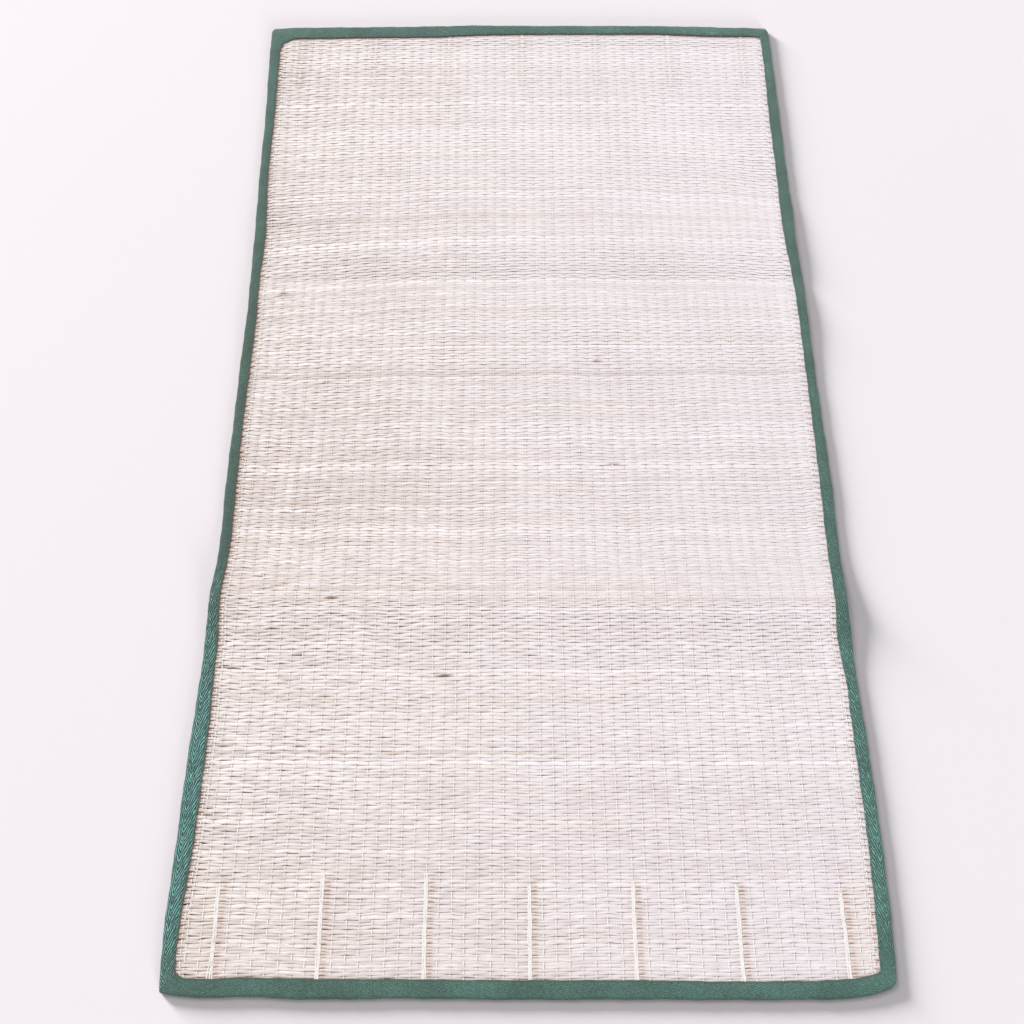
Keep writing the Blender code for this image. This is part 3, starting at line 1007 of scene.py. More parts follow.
    def height(self, points: SplintPoints) -> Values:
        """Height of the splint's middle over the sheet's underside at each point."""
        weave, row, at = self.weave, points.row, points.at
        reach = self.swing * points.relief * (0.55 + 0.45 * points.contrast)
        reach = reach * (1 - 0.5 * self.calm(row))
        swing = reach * np.cos(math.pi * at.share) * weave.over(row, at.thread)
        swing = swing * (1 - np.abs(at.tail))
        return SHEET_THICKNESS / 2 + swing + self.between(weave.brick_height, row, at) * points.uneven

    def tone(self, points: SplintPoints, band_tone: Values) -> Values:
        """How bright the sedge is at each point."""
        weave, x, middle = self.weave, points.x, points.middle
        chance = self.brick(weave.brick_tone, points.row, points.at) * points.uneven
        chance = np.clip(weave.row_tones[points.row] + chance, *self.chance_range)
        tone = self.base_tone + self.tone_rise * (middle - NEAR_END) + chance * points.contrast
        # Less bright in the painted shade beside the near cords and in the band by the left selvage.
        tone = tone + 0.75 * band_tone - 0.24 * points.shade - 0.10 * points.left_selvage_band
        # Painted shade left of the middle, where that panel slopes away from the light; lighter at the
        # near end but not in its corners.
        tone = tone - 0.09 * hump(middle, -0.14, 0.26) * np.clip(-x / 0.25, 0, 1)
        tone = tone + (0.08 - 0.10 * smooth_step(0.30, 0.0, x)) * smooth_step(-0.62, -0.76, middle)
        tone = tone - 0.09 * points.outer
        # Light loops outside the last thread, a darker far left and a lighter band by the ridge.
        tone = tone + 0.16 * points.outside
        tone = tone - 0.05 * smooth_step(-0.30, 0.10, middle) * smooth_step(-0.02, -0.25, x)
        return tone + 0.10 * smooth_step(-0.70, -0.55, middle) * smooth_step(-0.36, -0.50, middle)

    def warmth(self, points: SplintPoints, band_warmth: Values) -> Values:
        """How warm the colour of the sedge is at each point."""
        x, middle = points.x, points.middle
        warmth = self.base_warmth - 0.6 * x / USUAL_WIDTH + self.weave.row_warmths[points.row]
        warmth = warmth + 0.6 * band_warmth + 0.6 * points.shade + 0.35 * points.left_selvage_band
        # Warmer at the near left, in the near corners, and left of the middle with its painted shade.
        warmth = warmth + 0.20 * smooth_step(-0.66, -0.80, middle) * smooth_step(-0.12, -0.36, x)
        warmth = warmth + 0.50 * points.outer
        warmth = warmth + 0.12 * hump(middle, -0.18, 0.20) * np.clip(-x / 0.25, 0, 1)
        # Cooler at the near right.
        return warmth - 0.18 * smooth_step(-0.60, -0.80, middle) * smooth_step(0.0, 0.30, x)

    def groove(self, points: SplintPoints) -> Values:
        """How dark the painted shade in the groove beside the splint is at each point."""
        groove = (0.25 + 0.13 * points.blunt) * points.contrast**1.5
        return groove + 0.3 * points.left_selvage_band + 0.5 * points.ticked + 0.45 * points.outer

    def build_piece(self, number: int, material: Material) -> Piece:
        """Makes one piece of the weft.

        Args:
            number: Which piece, from the near end, starting at 0.
            material: The sedge finish.

        Returns:
            The piece.
        """
        weave = self.weave
        first = number * weave.rows // self.pieces
        count = (number + 1) * weave.rows // self.pieces - first
        stations = (weave.threads - 1) * self.steps + 2 * self.tail_steps
        bundle = StrandBundle(f"sedge_weft_{number + 1}", Strand(stations, len(self.SECTION)), count)
        row = bundle.strand + first
        points = self.survey(row, bundle.station)
        x, at = points.x, points.at
        section = np.array(self.SECTION)[bundle.corner]
        thickness = self.thickness * points.relief * np.clip(points.contrast, *self.thickness_range)
        y = self.middle_line(points)
        z = weave.plan.sheet_base(x, y) + (self.height(points) + section[:, 1] * thickness / 2)
        y = y + section[:, 0] * self.half_width(points)
        bundle.bend(x, y, z)
        bundle.note("splint_lay", x, bundle.corner / len(self.SECTION), weave.row_chance[row])
        band_tone, band_warmth = weave.in_band(row, x)
        # brown holds real stains, weighted to a splint's near flank, and the painted shade under the
        # tapes' inner edges.
        near_side = np.where(section[:, 0] < -0.5, 1.0, self.far_side_stain)
        brown = np.maximum(weave.stained(row, x) * near_side, weave.edge_shade(x, y))
        tone, warmth = self.tone(points, band_tone), self.warmth(points, band_warmth)
        bundle.note("splint_tone", tone, warmth, brown)
        # The painted shade in the grooves, and the contrast and crossing that place its dots, dashes
        # and ticks.
        crossing = at.thread + at.share + 0.5 * at.tail
        bundle.note("splint_shade_marks", self.groove(points), points.contrast, crossing)
        return bundle.finish(material)

    def build(self, material: Material) -> list[Piece]:
        """Makes all the pieces of the weft, from the near end to the far one."""
        return [self.build_piece(number, material) for number in range(self.pieces)]


@dataclass
class WarpThreads:
    """The thin pale threads that run along the mat and bind the splint rows."""

    weave: Weave
    pieces: int = 2
    radius: float = 0.00108
    far_radius: float = 0.00068
    over_swing: float = 0.00066
    far_over_swing: float = 0.00072
    under_swing: float = 0.00055

    # Section of a thread, anticlockwise: side, height.
    SECTION = ((0.95, 0.35), (-0.95, 0.35), (0.0, -0.9))

    def build_piece(self, number: int, material: Material) -> Piece:
        """Makes the threads of one side of the mat.

        Args:
            number: Which piece, from the left, starting at 0.
            material: The thread finish.

        Returns:
            The piece.
        """
        weave = self.weave
        first = number * weave.threads // self.pieces
        count = (number + 1) * weave.threads // self.pieces - first
        stations = 2 * weave.rows
        bundle = StrandBundle(f"warp_threads_{number + 1}", Strand(stations, len(self.SECTION)), count)
        thread = bundle.strand + first
        row = np.clip((bundle.station - 1) // 2, 0, weave.rows - 1)
        on_row = bundle.station % 2 == 1
        following = np.minimum(row + 1, weave.rows - 1)
        x = weave.thread_x(thread, weave.middles[row])
        here = weave.row_y(row, x)
        y = np.where(on_row, here, (here + weave.row_y(following, x)) / 2)
        y = np.where(bundle.station == 0, here - weave.pitches[row] / 2, y)
        side = np.array(self.SECTION)[bundle.corner]
        mine, next_one = weave.over(row, thread), weave.over(following, thread)
        rise = -np.where(on_row, mine, (mine + next_one) / 2)
        blunt = weave.bluntness(y)
        radius = mix(self.far_radius, self.radius, blunt)
        upward = mix(self.far_over_swing, self.over_swing, blunt)
        rise = np.where(rise > 0, rise * upward, rise * self.under_swing)
        z = weave.plan.sheet_base(x, y) + SHEET_THICKNESS / 2 + rise + side[:, 1] * radius
        bundle.bend(x - side[:, 0] * radius, y, z)
        bundle.note("thread_lay", y, bundle.corner / len(self.SECTION), thread / weave.threads)
        return bundle.finish(material)

    def build(self, material: Material) -> list[Piece]:
        """Makes the threads of both sides."""
        return [self.build_piece(number, material) for number in range(self.pieces)]


@dataclass
class EndCords:
    """The thick cords laid into both ends, each a loose bundle of soft strands.

    The near ones lie on top and dip a little at every groove between two rows. The
    far ones are woven in, over one splint row and under the next.
    """

    weave: Weave
    strands: int = 3
    segments: int = 66
    half_width: float = 0.00105
    half_height: float = 0.00055
    gather: float = 0.00165
    splay: float = 0.0024
    near_height: float = 0.0025
    far_height: float = 0.00115
    far_swing: float = 0.00045
    wobble: float = 0.00022
    row_dip: float = 0.00030
    end_dip: float = 0.0012
    end_dip_from: float = 0.965
    uneven_width: float = 0.10

    # Section of a strand, anticlockwise: side, height.
    SECTION = tuple((math.cos(k * math.pi / 3), math.sin(k * math.pi / 3)) for k in range(6))

    def height(self, far: bool, thread: int, y: Values) -> Values:
        """Height of a cord's middle over the sheet's underside at places along the mat."""
        rows = np.interp(y, self.weave.middles, np.arange(self.weave.rows))
        on_row = np.cos(2 * math.pi * rows)
        if not far:
            return self.near_height + self.row_dip * on_row
        row = np.rint(rows).astype(int)
        up = -self.weave.over(row, np.full_like(row, thread))
        return self.far_height + self.far_swing * up * (0.5 + 0.5 * on_row)

    def build_cord(self, number: int, far: bool, material: Material) -> Piece:
        """Makes one cord.

        Args:
            number: Which cord of its end, from the left, starting at 0.
            far: Whether it belongs to the far end.
            material: The cord finish.

        Returns:
            The cord.
        """
        plan = self.weave.plan
        side = Side.FAR if far else Side.NEAR
        name = f"{side.value}_cord_{number + 1}"
        bundle = StrandBundle(name, Strand(self.segments, len(self.SECTION)), self.strands)
        from_middle = number - CORDS_BESIDE_MIDDLE
        middle = CORD_MIDDLE + CORD_SPACING * from_middle
        thread = self.weave.middle_thread + THREADS_PER_CORD * from_middle
        inward = -1 if far else 1
        place = np.array(middle)
        start = float(plan.edge(side, place) + inward * plan.tape(side, place))
        start -= inward * 0.003
        end = FAR_CORD_END if far else NEAR_CORD_ENDS[number]
        share = bundle.station / self.segments
        y = start + (end - start) * share
        chance = np.random.default_rng(100 * far + number)
        phase = chance.uniform(0, 2 * math.pi, (self.strands, 3))[bundle.strand]
        offset = (bundle.strand - (self.strands - 1) / 2) * self.gather
        wave = np.sin(phase[:, 0] + share * 9) * 0.0003 + np.sin(phase[:, 1] + share * 23) * 0.0002
        wave = wave + chance.normal(0.0, self.wobble, self.segments + 1)[bundle.station]
        spread = self.splay * np.exp(-share / 0.09) * (1.0 if number == 0 and not far else 0.15)
        x = middle + offset * (1 + spread / self.gather) + wave
        height = self.height(far, thread, y) + 0.00012 * np.sin(phase[:, 2] + share * 37)
        height = height - self.end_dip * smooth_step(self.end_dip_from, 1.0, share)
        taper = np.minimum(1.0, 0.4 + 8 * (1 - share))
        uneven = chance.normal(0.0, self.uneven_width, (self.strands, self.segments + 1))
        taper = taper * (1 + uneven[bundle.strand, bundle.station])
        section = np.array(self.SECTION)[bundle.corner] * taper[:, None]
        z = plan.sheet_base(x, y) + height + section[:, 1] * self.half_height
        bundle.bend(x - section[:, 0] * self.half_width, y, z)
        lay = (number + bundle.strand / self.strands) / CORDS_AT_AN_END
        bundle.note("thread_lay", y, bundle.corner / len(self.SECTION), lay)
        if far:
            bundle.mesh.flip_normals()
        return bundle.finish(material)

    def build(self, material: Material) -> dict[str, Piece]:
        """Makes the cords of both ends, by the name of the node each stands for."""
        made = {}
        for number in range(CORDS_AT_AN_END):
            made[f"near_end_cord_{number + 1}"] = self.build_cord(number, False, material)
            made[f"far_end_cord_{number + 1}"] = self.build_cord(number, True, material)
        return made


@dataclass(frozen=True)
class TapePoint:
    """A point of the folded tape's section.

    Its inset is a share of the tape's width and a fixed step from its outer edge,
    its height a share of the binding's, and inward is the direction in degrees in
    which the tape has its thickness.
    """

    share: float
    step: float
    height: float
    inward: float


TAPE_SECTION = (
    TapePoint(1.00, 0.0000, 0.00, 90),
    TapePoint(0.50, 0.0000, 0.00, 90),
    TapePoint(0.00, 0.0030, 0.00, 84),
    TapePoint(0.00, 0.0013, 0.06, 62),
    TapePoint(0.00, 0.0004, 0.22, 35),
    TapePoint(0.00, 0.0000, 0.48, 4),
    TapePoint(0.00, 0.0003, 0.74, -28),
    TapePoint(0.00, 0.0012, 0.93, -56),
    TapePoint(0.00, 0.0028, 1.03, -76),
    TapePoint(0.00, 0.0050, 1.08, -87),
    TapePoint(0.50, 0.0000, 1.10, -90),
    TapePoint(1.00, -0.0052, 1.07, -92),
    TapePoint(1.00, -0.0036, 1.01, -94),
    TapePoint(1.00, -0.0026, 0.97, -90),
    TapePoint(1.00, -0.0016, 1.00, -88),
    TapePoint(1.00, -0.0006, 0.98, -90),
    TapePoint(1.00, 0.0000, 0.90, -90),
)


@dataclass(frozen=True)
class TapeTone:
    """How bright and how blue the side tapes are along the mat, partly painted light: painted
    highlights near the near end, painted shade past the ridge at the left.
    """

    along: float
    left: float
    left_teal: float
    left_bold: float
    right: float
    right_teal: float
    right_bold: float


TAPE_TONES = (
    TapeTone(-0.915, 0.34, 0.50, 0.60, 0.46, 0.50, 0.30),
    TapeTone(-0.840, 0.29, 0.75, 1.30, 0.48, 0.60, 0.50),
    TapeTone(-0.700, 0.29, 0.90, 1.55, 0.48, 0.70, 0.62),
    TapeTone(-0.480, 0.23, 0.80, 1.45, 0.46, 0.65, 0.55),
    TapeTone(-0.320, 0.04, 0.50, 1.35, 0.40, 0.55, 0.55),
    TapeTone(-0.200, 0.27, 0.30, 0.30, 0.41, 0.45, 0.35),
    TapeTone(0.050, 0.26, 0.10, 0.10, 0.43, 0.40, 0.25),
    TapeTone(0.300, 0.33, 0.15, 0.20, 0.42, 0.30, 0.25),
    TapeTone(0.600, 0.39, 0.30, 0.30, 0.40, 0.25, 0.25),
    TapeTone(0.915, 0.43, 0.40, 0.35, 0.45, 0.35, 0.30),
)
# How dark the painted brown shade along each tape's inner edge is.
TAPE_EDGE_SHADE = {Side.LEFT: 0.75, Side.RIGHT: 0.10, Side.NEAR: 0.55, Side.FAR: 0.70}


@dataclass
class BindingTape:
    """One strip of green twill tape, folded over an edge and mitred at both corners."""

    plan: MatPlan
    side: Side
    spacing: float = 0.0044
    mitre_reach: float = 0.060
    mitre_gap: float = 0.00002
    edge_wobble: float = 0.00055
    pucker: float = 0.00022
    rounding: float = 1.5
    row_easing: float = 0.40
    seam_inset: float = 0.0026
    seam_margin: float = 0.022
    stitch_pitch: float = 0.0042
    stitch_length: float = 0.0031
    stitch_radius: float = 0.00030
    pucker_length: float = 0.029

    def __post_init__(self) -> None:
        """Works out the strip's length and the slant of its mitres."""
        if self.side.is_end:
            end = NEAR_END if self.side is Side.NEAR else FAR_END
            self.start = float(self.plan.edge(Side.LEFT, np.array(end)))
            self.length = float(self.plan.edge(Side.RIGHT, np.array(end))) - self.start
        else:
            self.start = NEAR_END
            self.length = LENGTH
        self.slopes = tuple(self.mitre_slope(last) for last in (False, True))
        chance = np.random.default_rng(list(Side).index(self.side) + 5)
        self.phases = chance.uniform(0, 2 * math.pi, 8)

    def corner_of(self, last: bool) -> Corner:
        """The corner at the strip's first or last end."""
        if self.side.is_end:
            return self.plan.corner(last, self.side is Side.FAR)
        return self.plan.corner(self.side is Side.RIGHT, last)

    def corner_widths(self, last: bool) -> tuple[float, float]:
        """Widths of the side tape and of the end tape where they meet."""
        corner = self.corner_of(last)
        end = np.array(FAR_END if corner.far else NEAR_END)
        side = Side.RIGHT if corner.right else Side.LEFT
        end_side = Side.FAR if corner.far else Side.NEAR
        side_tape = float(self.plan.tape(side, end))
        end_tape = float(self.plan.tape(end_side, self.plan.edge(side, end)))
        return side_tape, end_tape

    def inner_round(self, last: bool) -> tuple[float, float]:
        """Radius of a corner's inner edge, and how far it fills the mitre."""
        radius = self.rounding * self.corner_of(last).inner_slant
        return radius, (1 - math.sqrt(0.5)) * radius

    def mitre_slope(self, last: bool) -> float:
        """How far a mitre runs along this strip for each step across it."""
        side_tape, end_tape = self.corner_widths(last)
        _, fill = self.inner_round(last)
        slope = (end_tape + fill) / (side_tape + fill)
        return 1 / slope if self.side.is_end else slope

    def mitre_share(self, from_corner: Values) -> Values:
        """Share of the mitre's slant that is left at a distance from the corner."""
        return np.maximum(0.0, 1 - from_corner / self.mitre_reach)

    def width(self, reached: Values) -> Values:
        """Width of the strip at distances from its first corner."""
        width = self.plan.tape(self.side, self.start + reached)
        for last in (False, True):
            side_tape, end_tape = self.corner_widths(last)
            mine, other = (end_tape, side_tape) if self.side.is_end else (side_tape, end_tape)
            radius, fill = self.inner_round(last)
            from_corner = self.length - reached if last else reached
            mitre = (other + fill) * self.mitre_share(from_corner)
            into = np.clip(radius - (from_corner + mitre - other), 0.0, radius)
            width = width + np.minimum(radius - np.sqrt(radius**2 - into**2), fill)
        return width

    def wave(self, reached: Values, first: int, length: float) -> Values:
        """A gentle unevenness along the strip, from -1 to 1."""
        slow = np.sin(2 * math.pi * reached / length + self.phases[first])
        quick = np.sin(2 * math.pi * reached / (length * 0.37) + self.phases[first + 1])
        return 0.6 * slow + 0.4 * quick

    def surface(self, reached: Values, inset: Values, height: Values) -> tuple[Values, Values, Values]:
        """Points of the strip from their distance along it, their inset and their height.

        Args:
            reached: Distance from the strip's first corner.
            inset: Distance in from the outer edge.
            height: Height over the floor where the mat lies flat.

        Returns:
            The points' x, y and z.
        """
        first = self.mitre_share(reached) * (inset * self.slopes[0] + self.mitre_gap)
        last = self.mitre_share(self.length - reached) * (inset * self.slopes[1] + self.mitre_gap)
        along = first - last
        nothing = np.zeros_like(reached)
        share = reached / self.length
        if self.side is Side.LEFT:
            x, y = self.plan.place(nothing, share, inset, along)
        elif self.side is Side.RIGHT:
            x, y = self.plan.place(nothing + 1, share, -inset, along)
        elif self.side is Side.NEAR:
            x, y = self.plan.place(share, nothing, along, inset)
        else:
            x, y = self.plan.place(share, nothing + 1, along, -inset)
        lift = nothing if self.side.is_end else self.plan.fold_lift(y)
        return x, y, height + lift

    def make_slab(self, columns: int, rows: int) -> bmesh.types.BMesh:
        """Makes a closed slab whose corners stand at whole numbers: column, row and layer."""
        slab = bmesh.new()
        bmesh.ops.create_grid(slab, x_segments=columns, y_segments=rows, size=0.5)
        for vert in slab.verts:
            vert.co.x = round((vert.co.x + 0.5) * columns)
            vert.co.y = round((vert.co.y + 0.5) * rows)
        grown = bmesh.ops.extrude_face_region(slab, geom=slab.faces[:])
        raised = [item for item in grown["geom"] if isinstance(item, bmesh.types.BMVert)]
        bmesh.ops.translate(slab, verts=raised, vec=(0, 0, 1))
        bmesh.ops.recalc_face_normals(slab, faces=slab.faces)
        return slab

    def build_tape(self, material: Material) -> Piece:
        """Makes the folded strip as one closed piece of cloth.

        Args:
            material: The tape finish.

        Returns:
            The strip.
        """
        rows = int(self.length / self.spacing)
        slab = self.make_slab(len(TAPE_SECTION) - 1, rows)
        places = np.array([vert.co for vert in slab.verts])
        column, row, layer = np.rint(places).astype(int).T
        easing = self.row_easing * np.sin(2 * math.pi * row / rows) / (2 * math.pi)
        reached = self.length * (row / rows - easing)
        nothing = np.zeros_like(reached)
        share, step, level, inward = (
            values_of(TAPE_SECTION, key)[column]
            for key in ("share", "step", "height", "inward")
        )
        angle = np.radians(inward)
        on_top = level > 0.5
        width = self.width(reached)
        ease = 1 - self.mitre_share(reached) - self.mitre_share(self.length - reached)
        inner = self.edge_wobble * self.wave(reached, 0, 0.061) * ease * (share > 0.75) * on_top
        outer = self.edge_wobble * self.wave(reached, 2, 0.083) * ease * (share == 0)
        puff = self.pucker * self.wave(reached, 4, self.pucker_length) * on_top * ease
        inset = share * width + step + inner + outer
        inset = inset + TAPE_THICKNESS * layer * np.cos(angle)
        height = level * BINDING_HEIGHT + TAPE_THICKNESS * layer * np.sin(angle) + puff
        x, y, z = self.surface(reached, inset, height)
        for vert, place in zip(slab.verts, np.stack([x, y, z], axis=1)):
            vert.co = place
        if slab.calc_volume(signed=True) < 0:
            bmesh.ops.reverse_faces(slab, faces=slab.faces)
        name = f"binding_tape_{self.side.value}"
        mesh = bpy.data.meshes.new(name)
        slab.to_mesh(mesh)
        slab.free()
        developed = np.where(on_top, inset, -inset) + (level - 0.5) * BINDING_HEIGHT
        note_values(mesh, "tape_lay", reached, developed, developed - width / 2)
        bright, teal, bold = self.tones(reached)
        note_values(mesh, "tape_tone", bright, teal, bold)
        # Painted shade along the tape's inner edge, darkest on the left and far tapes.
        brown = TAPE_EDGE_SHADE[self.side] * smooth_step(0.0030, 0.0004, width - inset) * on_top
        note_values(mesh, "tape_edge_shade", brown, nothing, nothing)
        mesh.materials.append(material)
        mesh.shade_smooth()
        return add_object(name, mesh)

    def tones(self, reached: Values) -> tuple[Values, Values, Values]:
        """How bright, how blue and how boldly patterned the strip is along its length."""
        if not self.side.is_end:
            columns = [self.side.value + ending for ending in ("", "_teal", "_bold")]
            return tuple(read(TAPE_TONES, column, self.start + reached) for column in columns)
        share = reached / self.length
        uneven = 0.04 * self.wave(reached, 6, 0.31)
        if self.side is Side.NEAR:
            return 0.35 + 0.13 * share + uneven, 0.36 + 0.14 * share, np.full_like(reached, 0.22)
        return 0.43 + 0.08 * share + uneven, 0.36 + 0.10 * share, np.full_like(reached, 0.36)

    def build_seam(self, material: Material) -> Piece:
        """Makes the line of stitches that holds the tape, near its inner edge.

        Args:
            material: The stitch finish.

        Returns:
            The stitches as one piece.
        """
        count = int((self.length - 2 * self.seam_margin) / self.stitch_pitch)
        bundle = StrandBundle(f"seam_{self.side.value}", Strand(2, 4), count)
        reached = self.seam_margin + self.stitch_pitch * bundle.strand
        reached = reached + self.stitch_length * (bundle.station / 2 - 0.5)
        dip = np.where(bundle.station == 1, 0.00025, -0.00030)
        corner = math.pi / 2 * bundle.corner
        inset = self.width(reached) - self.seam_inset + self.stitch_radius * np.cos(corner)
        puff = self.pucker * self.wave(reached, 4, self.pucker_length)
        height = 0.97 * BINDING_HEIGHT + puff + dip + self.stitch_radius * np.sin(corner)
        x, y, z = self.surface(reached, inset, height)
        bundle.bend(x, y, z)
        bundle.note("thread_lay", reached, corner, np.zeros_like(reached))
        if self.side in (Side.RIGHT, Side.NEAR):
            bundle.mesh.flip_normals()
        return bundle.finish(material)


class Wiring:
    """Adds and joins the shader nodes of one node tree."""

    def __init__(self, tree: bpy.types.NodeTree) -> None:
        """Starts from a tree and the nodes it has."""
        self.tree = tree

    def add(self, kind: str, **settings: object) -> Node:
        """Adds a node of a kind and gives it settings."""
        node = self.tree.nodes.new(kind)
        for name, value in settings.items():
            setattr(node, name, value)
        return node

    def put(self, socket: Socket, value: object) -> None:
        """Gives a socket a fixed value or joins it to another socket."""
        if isinstance(value, Socket):
            self.tree.links.new(value, socket)
        elif isinstance(value, tuple) and len(value) == 3 and socket.type == "RGBA":
            socket.default_value = (*value, 1.0)
        else:
            socket.default_value = value

    def maths(self, operation: str, first: object, second: object = 0.0) -> Socket:
        """The result of an operation on one or two values."""
        node = self.add("ShaderNodeMath", operation=operation)
        self.put(node.inputs[0], first)
        self.put(node.inputs[1], second)
        return node.outputs[0]

    def times(self, first: object, second: object) -> Socket:
        """Two values multiplied."""
        return self.maths("MULTIPLY", first, second)

    def plus(self, first: object, second: object) -> Socket:
        """Two values added."""
        return self.maths("ADD", first, second)

    def minus(self, first: object, second: object) -> Socket:
        """A value less another one."""
        return self.maths("SUBTRACT", first, second)

    def attribute(self, name: str) -> tuple[Socket, ...]:
        """The three values that a mesh keeps under a name."""
        node = self.add("ShaderNodeAttribute", attribute_name=name)
        parts = self.add("ShaderNodeSeparateXYZ")
        self.put(parts.inputs[0], node.outputs["Vector"])
        return tuple(parts.outputs)

    def vector(self, x: object, y: object, z: object) -> Socket:
        """A vector of three values."""
        node = self.add("ShaderNodeCombineXYZ")
        for socket, value in zip(node.inputs, (x, y, z)):
            self.put(socket, value)
        return node.outputs[0]

    def noise(self, place: object, scale: float, detail: float, roughness: float = 0.5) -> Socket:
        """Cloudy noise at places, from 0 to 1."""
        node = self.add("ShaderNodeTexNoise")
        self.put(node.inputs["Vector"], place)
        self.put(node.inputs["Scale"], scale)
        self.put(node.inputs["Detail"], detail)
        self.put(node.inputs["Roughness"], roughness)
        return node.outputs["Fac"]

    def blend(self, share: object, first: object, second: object, mode: str = "MIX") -> Socket:
        """One colour turning into another."""
        node = self.add("ShaderNodeMix", data_type="RGBA", blend_type=mode)
        self.put(node.inputs["Factor"], share)
        self.put(node.inputs[6], first)
        self.put(node.inputs[7], second)
        return node.outputs[2]

    def spread(self, value: object, low: float, high: float, to_low: float, to_high: float) -> Socket:
        """A value stretched from one range to another, and held inside it."""
        node = self.add("ShaderNodeMapRange", clamp=True)
        for socket, number in zip(node.inputs, (value, low, high, to_low, to_high)):
            self.put(socket, number)
        return node.outputs[0]

    def group(self, effect: bpy.types.NodeTree, **values: object) -> Node:
        """Places a shared effect and sets its named inputs."""
        node = self.add("ShaderNodeGroup", node_tree=effect)
        for name, value in values.items():
            self.put(node.inputs[name.replace("_", " ")], value)
        return node


class Effects:
    """Shader effects that several finishes share, each built once."""

    def __init__(self) -> None:
        """Builds every effect."""
        self.fibre = self.build_fibre()
        self.mottle = self.build_mottle()

    def start(self, name: str, inputs: dict[str, float | None], outputs: Sequence[str]) -> tuple:
        """Starts an effect with named inputs, a vector where no number is given, and outputs."""
        tree = bpy.data.node_groups.new(name, "ShaderNodeTree")
        for label, value in inputs.items():
            kind = "NodeSocketVector" if value is None else "NodeSocketFloat"
            socket = tree.interface.new_socket(label, in_out="INPUT", socket_type=kind)
            if value is not None:
                socket.default_value = value
        for label in outputs:
            tree.interface.new_socket(label, in_out="OUTPUT", socket_type="NodeSocketFloat")
        wiring = Wiring(tree)
        return tree, wiring, wiring.add("NodeGroupInput"), wiring.add("NodeGroupOutput")

    def build_fibre(self) -> bpy.types.NodeTree:
        """Fine streaks that run along a strand, as its fibres do."""
        inputs = {"Lay": None, "Along": 60.0, "Around": 9.0, "Strand": 40.0}
        tree, wiring, given, made = self.start("strand_fibres", inputs, ("Streak", "Ridge"))
        parts = wiring.add("ShaderNodeSeparateXYZ")
        wiring.put(parts.inputs[0], given.outputs["Lay"])
        along = wiring.times(parts.outputs[0], given.outputs["Along"])
        around = wiring.times(parts.outputs[1], given.outputs["Around"])
        strand = wiring.times(parts.outputs[2], given.outputs["Strand"])
        place = wiring.vector(along, around, strand)
        streak = wiring.noise(place, 1.0, 2.0)
        longer, finer = wiring.times(along, 0.5), wiring.times(around, 3.0)
        ridge = wiring.noise(wiring.vector(longer, finer, strand), 1.0, 2.0)
        wiring.put(made.inputs["Streak"], streak)
        wiring.put(made.inputs["Ridge"], ridge)
        return tree

    def build_mottle(self) -> bpy.types.NodeTree:
        """Soft blotches over a whole piece, in two sizes."""
        inputs = {"Broad": 7.0, "Small": 60.0}
        tree, wiring, given, made = self.start("soft_mottle", inputs, ("Broad", "Small"))
        place = wiring.add("ShaderNodeTexCoord").outputs["Object"]
        for label in ("Broad", "Small"):
            node = wiring.add("ShaderNodeTexNoise")
            wiring.put(node.inputs["Vector"], place)
            wiring.put(node.inputs["Scale"], given.outputs[label])
            wiring.put(node.inputs["Detail"], 2.0)
            wiring.put(made.inputs[label], node.outputs["Fac"])
        return tree


def start_material(name: str, roughness: float) -> tuple[Material, Wiring, Node]:
    """A new material, the wiring of its nodes, and its shader."""
    material = bpy.data.materials.new(name)
    material.use_nodes = True
    shader = material.node_tree.nodes["Principled BSDF"]
    shader.inputs["Roughness"].default_value = roughness
    return material, Wiring(material.node_tree), shader


def add_relief(wiring: Wiring, shader: Node, height: object, depth: float, strength: float) -> None:
    """Gives a shader a bumpy surface from a height."""
    bump = wiring.add("ShaderNodeBump")
    bump.inputs["Strength"].default_value = strength
    bump.inputs["Distance"].default_value = depth
    wiring.put(bump.inputs["Height"], height)
    wiring.put(shader.inputs["Normal"], bump.outputs["Normal"])


